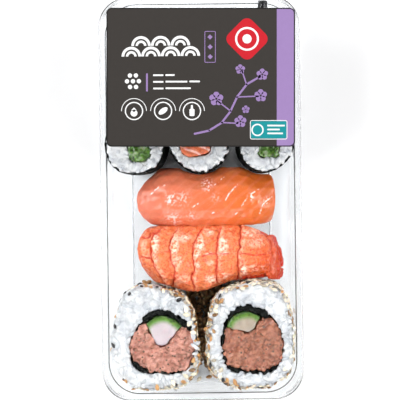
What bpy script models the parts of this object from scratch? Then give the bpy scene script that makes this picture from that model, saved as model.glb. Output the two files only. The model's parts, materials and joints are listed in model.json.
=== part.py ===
"""A takeaway sushi tray: three thin rolls, two nigiri and two wide rolls in a clear pack.

Sizes are in millimetres and become metres when a mesh is made. The origin is on the table
under the middle of the tray, +Z is up and +Y runs towards the end that carries the label.
"""

import math
import random

import bmesh
import bpy
import numpy as np
from mathutils import Matrix, Vector, noise
from mathutils.bvhtree import BVHTree

MM = 0.001
GAP = 0.3  # clearance between pieces that touch

# The pack
TRAY_HALF = (46.25, 92.5)
TRAY_MOUTH_HALF = (42.8, 88.9)
TRAY_MOUTH_RADIUS = 14.0
TRAY_HEIGHT = 12.5
TRAY_DRAFT = 1.0
TRAY_WALL = 0.5
PANEL_HALF = (31.6, 85.5)
PANEL_RADIUS = 6.0
PANEL_RISE = 1.5
LID_TOP_HALF = (44.0, 88.3)
LID_FOOT_HALF = (45.1, 91.3)
LID_TOP_RADIUS = 12.7
LID_HEIGHT = 42.0
LID_WALL = 0.45
CORNER_STEPS = 6
LABEL_SIZE = (82.4, 60.7, 0.3)
LABEL_CENTRE = (0.5, 52.9)
LABEL_TURN = -0.7  # degrees, as the card lies a little askew
LABEL_CORNER = 2.3

# The food
FLOOR_Z = TRAY_WALL + PANEL_RISE + GAP  # the underside of the food
HOSOMAKI_TOP = 28.0
URAMAKI_TOP = 30.0
NORI_THICKNESS = 0.5
GRAIN = 2.6  # width of the bumps on the rice
CRUMB = 4.0  # width of the bumps on the fish mix
RICE_BUMP = 0.8  # height of the bumps, up and down
CUT_BUMP = 0.3  # the same where a knife has smoothed them
FILLING_BUMP = 0.6
CUCUMBER_BUMP = 0.1
RICE_EDGE = 0.8  # rounding of the rice's rim
FILLING_DROP = 0.4  # from the top of the rice to the filling
ROLL_SIDES = 32
WIDE_ROLL_SIDES = 40
WIDE_ROLL_FOOT = 0.955  # share of the outline there, then heights above it and their shares
WIDE_ROLL_ROWS = ((5.0, 0.975), (9.5, 0.985), (14.0, 1.0), (18.5, 1.0), (23.0, 1.0), (27.4, 0.995))
FILLING_HUB = (-1.0, -7.0)  # from the middle of a wide roll to where its filling's top closes
ARC_STEPS = 8
STICK_GAP = 0.45
SEED_SIZE = (3.1, 1.9, 1.1)
SEED_LIFT = 0.15
SEED_SPACING = 3.5
SEED_BAND = (8.0, 28.8)  # the heights between which seeds lie
SEEDS_PER_ROLL = 30
SEED_TRIES = 4000
SEED_FACING = 0.3  # the least that the rice faces outwards under a seed
SEEDS_ELSEWHERE = 0.1  # chance of a seed on the side away from the other roll
CLEAR_OF_NIGIRI = (31.0, -43.8)
CLEAR_OF_WALL = (38.5, -83.0, 15.5)

# name, middle of the cut face, half width and half depth, outward lean, filling box, seed
HOSOMAKI = (
    ("left", (-29.5, 24.2), (13.75, 13.8), -1.4, (2.0, -1.2, 4.9, 6.2), 3),
    ("middle", (-0.5, 25.7), (14.0, 14.5), 0.0, (-2.0, -1.5, 6.7, 5.1), 5),
    ("right", (29.2, 24.4), (12.7, 13.4), 0.9, (1.5, -1.0, 4.7, 5.6), 8),
)

# The wide rolls: an outline of the rice round its cut face, then round the middle of the filling
# the reach of the filling and of the hole in the rice at chosen angles, in degrees and millimetres.
# The cucumber fills an arc of angles, and its underside is given from the middle
URAMAKI = {
    "left": {
        "outline": (
            (-32.1, -40.9), (-23.2, -38.9), (-13.4, -41.6), (-6.8, -45.6), (-3.9, -52.0),
            (-2.6, -63.0), (-1.9, -73.8), (-5.6, -81.0), (-12.6, -84.2), (-23.7, -85.3),
            (-32.4, -83.6), (-37.7, -78.2), (-40.3, -71.0), (-40.6, -60.3), (-38.7, -51.4),
            (-36.2, -45.0),
        ),
        "middle": (-17.7, -64.6),
        "filling": (
            (0, 12.9), (20, 12.7), (45, 11.6), (72, 12.2), (92, 12.9), (128, 12.0), (150, 11.6),
            (168, 13.1), (190, 13.6), (212, 14.4), (250, 12.7), (270, 12.0), (310, 14.4), (335, 13.4),
        ),
        "hole": (
            (0, 14.3), (20, 14.6), (38, 14.6), (52, 14.0), (75, 14.5), (92, 15.1), (112, 15.0),
            (128, 14.5), (150, 13.3), (168, 14.5), (190, 15.0), (212, 16.6), (228, 16.4),
            (250, 14.1), (270, 13.4), (310, 15.8), (335, 14.8),
        ),
        "arc": (43, 129),
        "underside": (
            (6.0, 5.0), (3.2, 2.0), (1.6, -0.4), (-0.8, -1.2), (-3.0, -0.6), (-4.6, 2.0), (-5.6, 4.8),
            (-7.0, 8.2),
        ),
        "seed_side": 5,
        "seed": 11,
    },
    "right": {
        "outline": (
            (8.9, -41.6), (19.2, -38.2), (28.1, -37.8), (34.7, -40.4), (38.2, -45.7), (39.6, -51.0),
            (40.8, -59.1), (40.9, -68.0), (39.9, -76.0), (36.2, -81.3), (29.7, -84.6),
            (20.8, -85.3), (12.8, -84.4), (7.5, -80.9), (3.3, -76.4), (1.7, -67.5), (2.6, -58.6),
            (4.1, -49.7), (5.9, -44.9),
        ),
        "middle": (21.0, -65.5),
        "filling": (
            (0, 13.6), (30, 13.6), (50, 13.6), (68, 12.9), (82, 14.5), (98, 15.2), (115, 15.2),
            (134, 13.9), (150, 12.2), (180, 11.1), (200, 11.8), (228, 12.9), (250, 11.4),
            (270, 11.1), (290, 12.2), (307, 13.8), (322, 14.2), (340, 14.1),
        ),
        "hole": (
            (0, 15.0), (30, 15.1), (50, 15.5), (64, 16.3), (78, 16.7), (93, 18.2), (108, 17.6),
            (125, 16.7), (140, 14.9), (150, 13.8), (180, 12.7), (200, 13.3), (228, 14.8),
            (250, 13.2), (270, 12.9), (290, 14.0), (307, 15.8), (322, 16.3), (340, 15.5),
        ),
        "arc": (68, 143),
        "underside": ((3.2, 9.6), (2.3, 7.2), (-0.6, 5.5), (-3.8, 6.1), (-7.4, 6.7), (-9.3, 7.9)),
        "seed_side": 165,
        "seed": 23,
    },
}

# The slices on the nigiri: far and near edge as (x, y), then how far each end bows out
SALMON = {
    "far": ((-29, 12.6), (-19, 13.8), (24, 13.8), (33, 12.8)),
    "near": ((-29, -11.2), (-16, -11.9), (-1, -12.1), (17, -11.8), (24, -11.5), (30, -10.9),
             (33, -9.6)),
    "ends": (-29.0, 33.4),
    "bow": (10.5, 2.4),
    "rice": ((-24.0, 28.5), (-8.3, 7.7)),
    "crown": 26.0,
    "drop": 7.0,
    "thickness": (5.2, 2.2),
}
SHRIMP = {
    "far": ((-29, -14.4), (-24, -13.2), (-18, -12.8), (0, -12.7), (13, -12.9), (20, -13.3),
            (25, -14.9), (31, -17.8)),
    "near": ((-29, -32.0), (-25, -34.6), (-22.8, -36.6), (-20.8, -38.0), (-15.8, -39.3),
             (-10.0, -41.1), (-4.2, -42.2), (2.2, -41.3), (8.7, -39.0), (12.7, -37.6), (17, -36.8),
             (25, -36.6), (31, -36.2)),
    "ends": (-28.9, 31.4),
    "bow": (6.0, 1.6),
    "rice": ((-22.5, 25.0), (-34.0, -16.5)),
    "crown": 26.0,
    "drop": 7.5,
    "thickness": (6.0, 2.4),
}
SHRIMP_BANDS = (-21.9, -14.7, -4.4, 6.2, 16.9)  # where one segment of the shrimp laps the next
SHRIMP_CUT_Y = -24.8  # the cut along its back, on the tail half
SHRIMP_CUT_DEPTH = 0.9
SHRIMP_SWELL = 1.5
SALMON_RIDGE = 0.23
END_FALL = 6.0  # how far a slice's ends droop
THINNEST = 1.4
SALMON_GRID = (20, 8)
SHRIMP_GRID = (26, 8)
NIGIRI_ROWS = ((4.4, 1.0), (7.6, 1.02), (10.8, 1.0))  # heights on the rice under a slice, and its share
NIGIRI_SHOULDER = (14.0, 0.96)
TAIL_LOBES = ((31.6, -20.4, -12.0), (32.6, -24.8, -3.0), (33.0, -29.4, 5.0), (32.6, -34.8, 14.0))
TAIL_LOBE_HALF = (6.6, 3.0, 0.9)
TAIL_HANG = 55  # degrees below level
TAIL_Z = 14.6

# The sauce ampoule that lies under the label, its tip over the end wall
AMPOULE_BASE = (27.6, 42.9, 11.2)
AMPOULE_TIP = (29.1, 90.0, 16.4)
AMPOULE_PROFILE = (
    (0.0, 5.4), (0.6, 7.4), (2.2, 8.4), (14.0, 8.6), (27.0, 8.4), (31.0, 7.2), (34.0, 4.2),
    (36.0, 2.9), (38.5, 2.6),
)
NOZZLE_PROFILE = ((38.8, 2.5), (41.0, 2.4), (46.6, 2.15), (47.2, 1.9))
AMPOULE_SIDES = 12


def clear_scene():
    for thing in list(bpy.data.objects):
        bpy.data.objects.remove(thing, do_unlink=True)


def new_material(name, colour, roughness, transmission=0.0):
    """A Principled material with the piece's plain colour."""
    material = bpy.data.materials.new(name)
    material.use_nodes = True
    shader = material.node_tree.nodes["Principled BSDF"]
    shader.inputs["Base Color"].default_value = (*colour, 1.0)
    shader.inputs["Roughness"].default_value = roughness
    shader.inputs["Transmission Weight"].default_value = transmission
    material.diffuse_color = (*colour, 1.0)
    return material


def add_piece(name, bm, material, collection):
    """An object of the mesh, which is in millimetres, scaled to metres."""
    bmesh.ops.scale(bm, vec=(MM, MM, MM), verts=bm.verts)
    mesh = bpy.data.meshes.new(name)
    bm.to_mesh(mesh)
    bm.free()
    mesh.materials.append(material)
    mesh.shade_smooth()
    mesh.set_sharp_from_angle(angle=math.radians(35))
    piece = bpy.data.objects.new(name, mesh)
    collection.objects.link(piece)
    return piece


def add_loft(bm, rings, close_end=True, join_ends=False):
    """Walls between rings of equal count, which run up the outside and in over the top."""
    rows = [[bm.verts.new(point) for point in ring] for ring in rings]
    pairs = list(zip(rows, rows[1:]))
    if join_ends:
        pairs.append((rows[-1], rows[0]))
    for lower, upper in pairs:
        for index, vertex in enumerate(lower):
            after = (index + 1) % len(lower)
            bm.faces.new((vertex, lower[after], upper[after], upper[index]))
    if not join_ends:
        bm.faces.new(tuple(reversed(rows[0])))
        if close_end:
            bm.faces.new(tuple(rows[-1]))


def smooth_loop(points, steps=10):
    """A closed smooth line through the points."""
    knots = [Vector(point) for point in points]
    line = []
    for index, knot in enumerate(knots):
        before = knots[index - 1]
        after = knots[(index + 1) % len(knots)]
        beyond = knots[(index + 2) % len(knots)]
        for step in range(steps):
            t = step / steps
            line.append(
                knot
                + (after - before) * 0.5 * t
                + (before * 2 - knot * 5 + after * 4 - beyond) * 0.5 * t * t
                + (knot * 3 - before - after * 3 + beyond) * 0.5 * t**3
            )
    return line


def reach_round(middle, line, count):
    """The distance from a middle point to a line round it, at evenly spaced angles."""
    offsets = [Vector(point) - Vector(middle) for point in line]
    angles = [math.atan2(offset.y, offset.x) for offset in offsets]
    lengths = [offset.length for offset in offsets]
    return np.interp(even_angles(count), angles, lengths, period=2 * math.pi)


def even_angles(count):
    return [2 * math.pi * index / count for index in range(count)]


def outline_at(middle, reach, z):
    """A level ring of points, given how far it reaches at evenly spaced angles."""
    return [
        Vector((middle[0] + r * math.cos(a), middle[1] + r * math.sin(a), z))
        for r, a in zip(reach, even_angles(len(reach)))
    ]


def lumps(point, size, seed):
    """A smooth bumpy value from -1 to 1 whose bumps are about the given size."""
    return 2.0 * noise.noise(Vector(point) / size + Vector((seed, seed * 0.7, seed * 1.3)))


def roughened(ring, middle, amount, seed):
    """The ring with grain-sized bumps outwards and inwards, round a middle point."""
    moved = []
    for point in ring:
        outward = Vector((point.x - middle[0], point.y - middle[1], 0)).normalized()
        moved.append(point + outward * amount * lumps(point, GRAIN, seed))
    return moved


def raised(ring, amount, seed, size=GRAIN):
    """The ring with grain-sized bumps up and down."""
    return [point + Vector((0, 0, amount * lumps(point, size, seed))) for point in ring]


def rounded_rectangle(half, radius, z):
    """A level ring round a rectangle with round corners, anticlockwise from above."""
    ring = []
    for corner in range(4):
        side_x = 1 if corner in (0, 3) else -1
        side_y = 1 if corner in (0, 1) else -1
        centre = (side_x * (half[0] - radius), side_y * (half[1] - radius))
        for step in range(CORNER_STEPS + 1):
            angle = math.pi / 2 * (corner + step / CORNER_STEPS)
            out = (radius * math.cos(angle), radius * math.sin(angle))
            ring.append(Vector((centre[0] + out[0], centre[1] + out[1], z)))
    return ring


def grown(half, extra):
    return (half[0] + extra, half[1] + extra)


def add_shell(name, rings, wall, material, collection):
    """An open surface through the rings, given its thickness on the lower side."""
    bm = bmesh.new()
    add_loft(bm, [list(reversed(ring)) for ring in rings], close_end=False)
    shell = add_piece(name, bm, material, collection)
    solidify = shell.modifiers.new("Wall", "SOLIDIFY")
    solidify.thickness = wall * MM
    solidify.offset = -1.0
    solidify.use_even_offset = True


def add_tray(material, collection):
    """Shallow tray: a raised panel, a gutter round it, a steep wall and a turned-down rim."""
    floor = TRAY_WALL
    radius = TRAY_MOUTH_RADIUS
    foot = (TRAY_MOUTH_HALF[0] - TRAY_DRAFT, TRAY_MOUTH_HALF[1] - TRAY_DRAFT)
    outer_radius = radius + TRAY_HALF[0] - TRAY_MOUTH_HALF[0]
    rings = [
        rounded_rectangle(PANEL_HALF, PANEL_RADIUS, floor + PANEL_RISE),
        rounded_rectangle(grown(PANEL_HALF, 0.7), PANEL_RADIUS + 0.7, floor),
        rounded_rectangle((foot[0] - 2.0, foot[1] - 0.9), radius - 2.0, floor),
        rounded_rectangle(grown(foot, -0.5), radius - 1.3, floor + 0.5),
        rounded_rectangle(foot, radius - 0.9, floor + 1.8),
        rounded_rectangle(TRAY_MOUTH_HALF, radius, TRAY_HEIGHT - 0.6),
        rounded_rectangle(grown(TRAY_MOUTH_HALF, 0.6), radius + 0.6, TRAY_HEIGHT),
        rounded_rectangle(grown(TRAY_HALF, -0.8), outer_radius - 0.8, TRAY_HEIGHT),
        rounded_rectangle(grown(TRAY_HALF, -0.2), outer_radius - 0.2, TRAY_HEIGHT - 0.4),
        rounded_rectangle(TRAY_HALF, outer_radius, TRAY_HEIGHT - 1.6),
    ]
    add_shell("tray", rings, TRAY_WALL, material, collection)


def add_lid(material, collection):
    """Clear cover that stands on the tray's rim: flat top, leaning walls and a narrow foot."""
    foot_z = TRAY_HEIGHT + GAP + LID_WALL
    foot_radius = LID_TOP_RADIUS + LID_FOOT_HALF[0] - LID_TOP_HALF[0]
    rings = [
        rounded_rectangle(grown(LID_TOP_HALF, -1.1), LID_TOP_RADIUS - 1.1, LID_HEIGHT),
        rounded_rectangle(grown(LID_TOP_HALF, -0.35), LID_TOP_RADIUS - 0.35, LID_HEIGHT - 0.3),
        rounded_rectangle(LID_TOP_HALF, LID_TOP_RADIUS, LID_HEIGHT - 1.1),
        rounded_rectangle(LID_FOOT_HALF, foot_radius, foot_z + 0.5),
        rounded_rectangle(grown(LID_FOOT_HALF, 0.25), foot_radius + 0.25, foot_z),
        rounded_rectangle(grown(TRAY_HALF, -0.2), foot_radius + 0.95, foot_z),
    ]
    add_shell("lid", rings, LID_WALL, material, collection)


def add_label(material, collection):
    """Printed card on top of the lid, with round corners."""
    bm = bmesh.new()
    bmesh.ops.create_cube(bm, size=1.0, matrix=Matrix.Diagonal((*LABEL_SIZE, 1.0)))
    upright = [edge for edge in bm.edges if edge.verts[0].co.xy == edge.verts[1].co.xy]
    bmesh.ops.bevel(bm, geom=upright, offset=LABEL_CORNER, segments=4, profile=0.5, affect="EDGES")
    place = Matrix.Translation((*LABEL_CENTRE, LID_HEIGHT + GAP + LABEL_SIZE[2] / 2))
    turn = Matrix.Rotation(math.radians(LABEL_TURN), 4, "Z")
    bmesh.ops.transform(bm, matrix=place @ turn, verts=bm.verts)
    add_piece("label", bm, material, collection)


def add_turned(name, profile, material, collection):
    """A turned solid on the ampoule's axis, from stations along it and their radii."""
    bm = bmesh.new()
    rings = []
    for along, radius in profile:
        ring = outline_at((0, 0), [radius] * AMPOULE_SIDES, along)
        rings.append(ring)
    add_loft(bm, rings)
    base = Vector(AMPOULE_BASE)
    axis = Vector(AMPOULE_TIP) - base
    turn = axis.to_track_quat("Z", "Y").to_matrix().to_4x4()
    bmesh.ops.transform(bm, matrix=Matrix.Translation(base) @ turn, verts=bm.verts)
    add_piece(name, bm, material, collection)


def hosomaki_reach(half, seed):
    """A slightly uneven oval, as a rolled sheet settles."""
    reach = []
    for angle in even_angles(ROLL_SIDES):
        oval = 1 / math.hypot(math.cos(angle) / half[0], math.sin(angle) / half[1])
        uneven = 0.25 * math.sin(3 * angle + seed) + 0.18 * math.sin(5 * angle + 2 * seed)
        reach.append(oval + uneven - GAP)
    return np.array(reach)


def add_hosomaki(name, middle, half, lean, filling, seed, materials, collection):
    """A thin roll on end: a nori sleeve, rice inside it and a bar of filling through the rice."""
    outer = hosomaki_reach(half, seed)
    count = len(outer)
    foot = (middle[0] - lean, middle[1])
    top = HOSOMAKI_TOP

    bm = bmesh.new()
    nori = [
        outline_at(foot, outer, FLOOR_Z),
        raised(outline_at(middle, outer, top - CUT_BUMP), CUT_BUMP, seed),
        raised(outline_at(middle, outer - NORI_THICKNESS, top - CUT_BUMP), CUT_BUMP, seed),
        outline_at(foot, outer - NORI_THICKNESS, FLOOR_Z),
    ]
    add_loft(bm, nori, join_ends=True)
    add_piece(f"hosomaki_{name}_nori", bm, materials["nori"], collection)

    across, along, half_x, half_y = filling
    hub = (middle[0] + across, middle[1] + along)
    hub_foot = (foot[0] + across, foot[1] + along)
    bar = []
    for angle in even_angles(count):
        square = (abs(math.cos(angle) / half_x) ** 4 + abs(math.sin(angle) / half_y) ** 4) ** -0.25
        bar.append(square + 0.25 * math.sin(4 * angle + 3 * seed))
    bar = np.array(bar)
    edge = outer - NORI_THICKNESS - GAP
    rice_top = outline_at(middle, edge, top)
    rice_reach = reach_round(hub, [point.xy for point in rice_top], count)

    bm = bmesh.new()
    rice = [
        outline_at(hub_foot, rice_reach, FLOOR_Z),
        outline_at(hub, rice_reach, top - RICE_EDGE),
        raised(outline_at(hub, rice_reach - RICE_EDGE, top), RICE_BUMP / 2, seed),
        raised(outline_at(hub, rice_reach * 0.45 + bar * 0.55, top), RICE_BUMP, seed),
        raised(outline_at(hub, bar + GAP, top - FILLING_DROP), CUT_BUMP, seed),
        outline_at(hub_foot, bar + GAP, FLOOR_Z),
    ]
    add_loft(bm, rice, join_ends=True)
    add_piece(f"hosomaki_{name}_rice", bm, materials["rice"], collection)

    bm = bmesh.new()
    core = [
        outline_at(hub_foot, bar[::2], FLOOR_Z),
        outline_at(hub, bar[::2], top - RICE_EDGE),
        raised(outline_at(hub, bar[::2] - 0.5, top - CUT_BUMP), CUT_BUMP / 2, seed),
        raised(outline_at(hub, bar[::2] * 0.5, top - CUT_BUMP), CUT_BUMP, seed),
    ]
    add_loft(bm, core)
    inside = "salmon" if name == "middle" else "cucumber"
    add_piece(f"hosomaki_{name}_filling", bm, materials[inside], collection)


def far_edge(shape, x):
    """The slice's far edge, which tucks in between the thin rolls where it meets them."""
    edge = float(np.interp(x, *zip(*shape["far"])))
    for _, middle, half, lean, _, _ in HOSOMAKI:
        for centre in (middle[0], middle[0] - lean):
            reach = max(half) + GAP
            if abs(x - centre) < reach:
                edge = min(edge, middle[1] - math.sqrt(reach**2 - (x - centre) ** 2) - GAP)
    return edge


def slice_point(shape, s, u):
    """A point in plan on a nigiri's slice: s runs from end to end and u from near to far edge."""
    bow_left, bow_right = shape["bow"]
    round_off = 1 - math.sqrt(max(0.0, 1 - u * u))
    left = shape["ends"][0] + bow_left * round_off
    right = shape["ends"][1] - bow_right * round_off
    x = left + (right - left) * s
    near = np.interp(x, *zip(*shape["near"]))
    return x, near + (far_edge(shape, x) - near) * (u + 1) / 2


def slice_top(shape, s, u):
    """The height of the slice, which is domed and hangs over the rice at its edges and ends."""
    end_fall = END_FALL * abs(2 * s - 1) ** 4
    return shape["crown"] - shape["drop"] * abs(u) ** 2.6 - end_fall


def slice_thickness(shape, s, u):
    thick, thin = shape["thickness"]
    return thin + (thick - thin) * (1 - abs(u) ** 2) * (1 - abs(2 * s - 1) ** 4)


def salmon_relief(x, y):
    """Low ridges that run slantwise across the salmon."""
    ridge = SALMON_RIDGE * math.sin((x + 0.8 * y) / 1.9)
    return ridge + SALMON_RIDGE * lumps((x, y, 0), 9.0, 2)


def shrimp_relief(x, y):
    """Each segment swells and then steps down to the next, with a cut along the middle."""
    edges = (SHRIMP["ends"][0] - 4.0, *SHRIMP_BANDS, SHRIMP["ends"][1] + 2.0)
    bowed = x - 0.012 * (y - SHRIMP_CUT_Y) ** 2
    swell = 0.0
    for start, end in zip(edges, edges[1:]):
        if start <= bowed < end:
            share = (bowed - start) / (end - start)
            swell = SHRIMP_SWELL * math.sin(math.pi * share**0.6) ** 0.7
    cut = 0.0
    if x > 0:
        cut = SHRIMP_CUT_DEPTH * math.exp(-((y - SHRIMP_CUT_Y) ** 2))
    return swell - cut + 0.3 * lumps((x, y, 0), 5.0, 4)


def add_slice(bm, shape, relief, divisions):
    """A thick sheet with rounded ends, its top and underside joined round the edge."""
    stations, columns = divisions
    grid = []
    for station in range(stations + 1):
        s = (1 - math.cos(math.pi * station / stations)) / 2
        s = 0.35 * s + 0.65 * station / stations
        row = []
        for column in range(columns + 1):
            u = -math.cos(math.pi * column / columns)
            x, y = slice_point(shape, s, u)
            top = slice_top(shape, s, u) + relief(x, y)
            thick = slice_thickness(shape, s, u) + relief(x, y)
            row.append((bm.verts.new((x, y, top)), bm.verts.new((x, y, top - max(thick, THINNEST)))))
        grid.append(row)
    for near_row, far_row in zip(grid, grid[1:]):
        for column in range(columns):
            a, b = near_row[column], near_row[column + 1]
            c, d = far_row[column], far_row[column + 1]
            bm.faces.new((a[0], c[0], d[0], b[0]))
            bm.faces.new((a[1], b[1], d[1], c[1]))
    edge = [row[0] for row in grid] + grid[-1][1:-1] + [row[-1] for row in reversed(grid)]
    edge += list(reversed(grid[0][1:-1]))
    for index, (top, under) in enumerate(edge):
        after_top, after_under = edge[(index + 1) % len(edge)]
        bm.faces.new((top, under, after_under, after_top))


def add_rice_block(name, shape, seed, materials, collection):
    """The pressed rice under a slice, with bumps the size of grains where it shows."""
    (x0, x1), (y0, y1) = shape["rice"]
    middle = ((x0 + x1) / 2, (y0 + y1) / 2)
    half = ((x1 - x0) / 2, (y1 - y0) / 2)
    reach = []
    for angle in even_angles(ROLL_SIDES):
        across = abs(math.cos(angle) / half[0])
        along = abs(math.sin(angle) / half[1])
        reach.append((across**3 + along**3) ** (-1 / 3))
    reach = np.array(reach)

    def under_slice(ring):
        lowered = []
        for point in ring:
            s = (point.x - shape["ends"][0]) / (shape["ends"][1] - shape["ends"][0])
            near = np.interp(point.x, *zip(*shape["near"]))
            u = 2 * (point.y - near) / (far_edge(shape, point.x) - near) - 1
            under = slice_top(shape, s, u) - slice_thickness(shape, s, u)
            lowered.append(Vector((point.x, point.y, min(point.z, under - 3 * GAP))))
        return lowered

    rings = [outline_at(middle, reach * 0.95, FLOOR_Z)]
    for z, share in NIGIRI_ROWS:
        rings.append(roughened(outline_at(middle, reach * share, z), middle, RICE_BUMP, seed))
    rings.append(under_slice(outline_at(middle, reach * NIGIRI_SHOULDER[1], NIGIRI_SHOULDER[0])))
    for share in (0.8, 0.45):
        rings.append(under_slice(outline_at(middle, reach * share, URAMAKI_TOP)))
    bm = bmesh.new()
    add_loft(bm, rings)
    add_piece(name, bm, materials["rice"], collection)


def add_shrimp(materials, collection):
    """The butterflied shrimp and the fan of its tail, joined into one piece."""
    bm = bmesh.new()
    add_slice(bm, SHRIMP, shrimp_relief, SHRIMP_GRID)
    body = add_piece("shrimp", bm, materials["shrimp"], collection)

    fan = bpy.data.collections.new("Tail fan")
    bpy.context.scene.collection.children.link(fan)
    for number, (x, y, spread) in enumerate(TAIL_LOBES):
        bm = bmesh.new()
        bmesh.ops.create_uvsphere(bm, u_segments=10, v_segments=6, radius=1.0)
        bmesh.ops.scale(bm, vec=TAIL_LOBE_HALF, verts=bm.verts)
        hang = Matrix.Rotation(math.radians(TAIL_HANG), 4, "Y")
        place = Matrix.Translation((x, y, TAIL_Z)) @ Matrix.Rotation(math.radians(-spread), 4, "Z")
        bmesh.ops.transform(bm, matrix=place @ hang, verts=bm.verts)
        add_piece(f"lobe_{number}", bm, materials["shrimp"], fan)
    join_all(body, fan)


def join_all(body, collection, solver="EXACT"):
    """One union of the body with every object of the collection, which is then removed."""
    union = body.modifiers.new("Union", "BOOLEAN")
    union.operation = "UNION"
    union.operand_type = "COLLECTION"
    union.collection = collection
    union.solver = solver
    bpy.context.view_layer.update()
    whole = bpy.data.meshes.new_from_object(body.evaluated_get(bpy.context.evaluated_depsgraph_get()))
    body.modifiers.clear()
    body.data = whole
    for piece in list(collection.objects):
        bpy.data.objects.remove(piece, do_unlink=True)
    bpy.data.collections.remove(collection)


def add_uramaki(name, roll, materials, collection):
    """A wide roll on end: rice outside with seeds, nori inside it, then filling and cucumber."""
    count = WIDE_ROLL_SIDES
    middle = roll["middle"]
    seed = roll["seed"]
    outer = reach_round(middle, smooth_loop(roll["outline"]), count)
    hole = reach_at(roll["hole"], count)
    content = reach_at(roll["filling"], count)
    top = URAMAKI_TOP

    bm = bmesh.new()
    rings = [outline_at(middle, outer * WIDE_ROLL_FOOT - GAP, FLOOR_Z)]
    for z, share in WIDE_ROLL_ROWS:
        rings.append(roughened(outline_at(middle, outer * share - GAP, z), middle, RICE_BUMP, seed))
    rim = outer - 2 * RICE_EDGE
    rings.append(raised(outline_at(middle, rim, top - FILLING_DROP), RICE_BUMP, seed))
    for share in (0.66, 0.33):
        rings.append(raised(outline_at(middle, hole + (rim - hole) * share, top), RICE_BUMP, seed))
    rings.append(raised(outline_at(middle, hole, top - RICE_EDGE), CUT_BUMP, seed))
    rings.append(outline_at(middle, hole, FLOOR_Z))
    add_loft(bm, rings, join_ends=True)
    bm.normal_update()
    surface = BVHTree.FromBMesh(bm)
    rice = add_piece(f"uramaki_{name}_rice", bm, materials["rice"], collection)
    join_all(rice, scatter_seeds(roll, surface, materials["sesame"]), "MANIFOLD")

    nori_outer = hole - GAP
    nori_inner = content + GAP
    bm = bmesh.new()
    nori = [
        outline_at(middle, nori_outer, FLOOR_Z),
        raised(outline_at(middle, nori_outer, top - RICE_EDGE), CUT_BUMP, seed),
        raised(outline_at(middle, nori_inner, top - RICE_EDGE), CUT_BUMP, seed),
        outline_at(middle, nori_inner, FLOOR_Z),
    ]
    add_loft(bm, nori, join_ends=True)
    add_piece(f"uramaki_{name}_nori", bm, materials["nori"], collection)
    add_uramaki_filling(name, roll, content, materials, collection)


def reach_at(table, count):
    """Distances at evenly spaced angles from a list of angles in degrees and distances."""
    angles, lengths = zip(*table)
    return np.interp(even_angles(count), np.radians(angles), lengths, period=2 * math.pi)


def add_uramaki_filling(name, roll, content, materials, collection):
    """The filling with a notch for the cucumber, and the cucumber stick in the notch."""
    middle = Vector(roll["middle"])
    start, end = (math.radians(angle) for angle in roll["arc"])
    underside = [middle + Vector(offset) for offset in roll["underside"]]
    angles = even_angles(len(content))

    def at(angle, reach):
        return middle + Vector((math.cos(angle), math.sin(angle))) * reach

    beside = [item for item in zip(angles, content) if not start < item[0] < end]
    beside.sort(key=lambda item: (item[0] - end) % (2 * math.pi))
    outline = [at(angle, reach) for angle, reach in beside] + underside
    closing = middle + Vector(FILLING_HUB)
    filling = add_column(outline, closing, FILLING_BUMP, roll["seed"])
    add_piece(f"uramaki_{name}_filling", filling, materials["filling"], collection)

    arc = [start + (end - start) * step / ARC_STEPS for step in range(ARC_STEPS + 1)]
    stick = [at(angle, np.interp(angle, angles, content)) for angle in arc] + underside[::-1]
    hub = sum(stick, Vector((0, 0))) / len(stick)
    stick = [point + (hub - point).normalized() * STICK_GAP for point in stick]
    cucumber = add_column(stick, hub, CUCUMBER_BUMP, roll["seed"])
    add_piece(f"uramaki_{name}_cucumber", cucumber, materials["cucumber"], collection)


def add_column(outline, hub, bumps, seed):
    """The mesh of an upright solid with an uneven cut face that closes towards a hub."""

    def ring(share, z):
        return [Vector((*(hub + (point - hub) * share), z)) for point in outline]

    top = URAMAKI_TOP - FILLING_DROP
    rings = [
        ring(1.0, FLOOR_Z),
        ring(1.0, top - RICE_EDGE),
        raised(ring(0.95, top), bumps * 0.4, seed),
        raised(ring(0.72, top + bumps * 0.3), bumps, seed, CRUMB),
        raised(ring(0.45, top + bumps * 0.3), bumps, seed, CRUMB),
        ring(0.15, top),
    ]
    bm = bmesh.new()
    add_loft(bm, rings)
    return bm


def scatter_seeds(roll, surface, material):
    """Sesame seeds on the outside of a roll, more of them on the side where the rolls meet."""
    draw = random.Random(roll["seed"])
    seeds = bpy.data.collections.new("Seeds")
    bpy.context.scene.collection.children.link(seeds)
    placed = []
    middle = Vector((*roll["middle"], 0))
    tries = 0
    while len(placed) < SEEDS_PER_ROLL and tries < SEED_TRIES:
        tries += 1
        angle = draw.uniform(0, 2 * math.pi)
        facing = 0.5 + 0.5 * math.cos(angle - math.radians(roll["seed_side"]))
        if draw.random() > facing + SEEDS_ELSEWHERE:
            continue
        height = draw.uniform(*SEED_BAND)
        outward = Vector((math.cos(angle), math.sin(angle), 0.0))
        start = middle + outward * TRAY_HALF[1] + Vector((0, 0, height))
        hit, normal, _, _ = surface.ray_cast(start, -outward)
        if hit is None or normal.dot(outward) < SEED_FACING or crowded(hit, placed):
            continue
        spin = draw.uniform(0, math.pi)
        placed.append(hit)
        turn = normal.to_track_quat("Z", "Y").to_matrix().to_4x4() @ Matrix.Rotation(spin, 4, "Z")
        size = Matrix.Diagonal((*(side / 2 for side in SEED_SIZE), 1.0))
        place = Matrix.Translation(hit + normal * SEED_LIFT)
        bm = bmesh.new()
        bmesh.ops.create_icosphere(bm, subdivisions=1, radius=1.0)
        bmesh.ops.transform(bm, matrix=place @ turn @ size, verts=bm.verts)
        add_piece(f"seed_{len(placed)}", bm, material, seeds)
    return seeds


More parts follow.
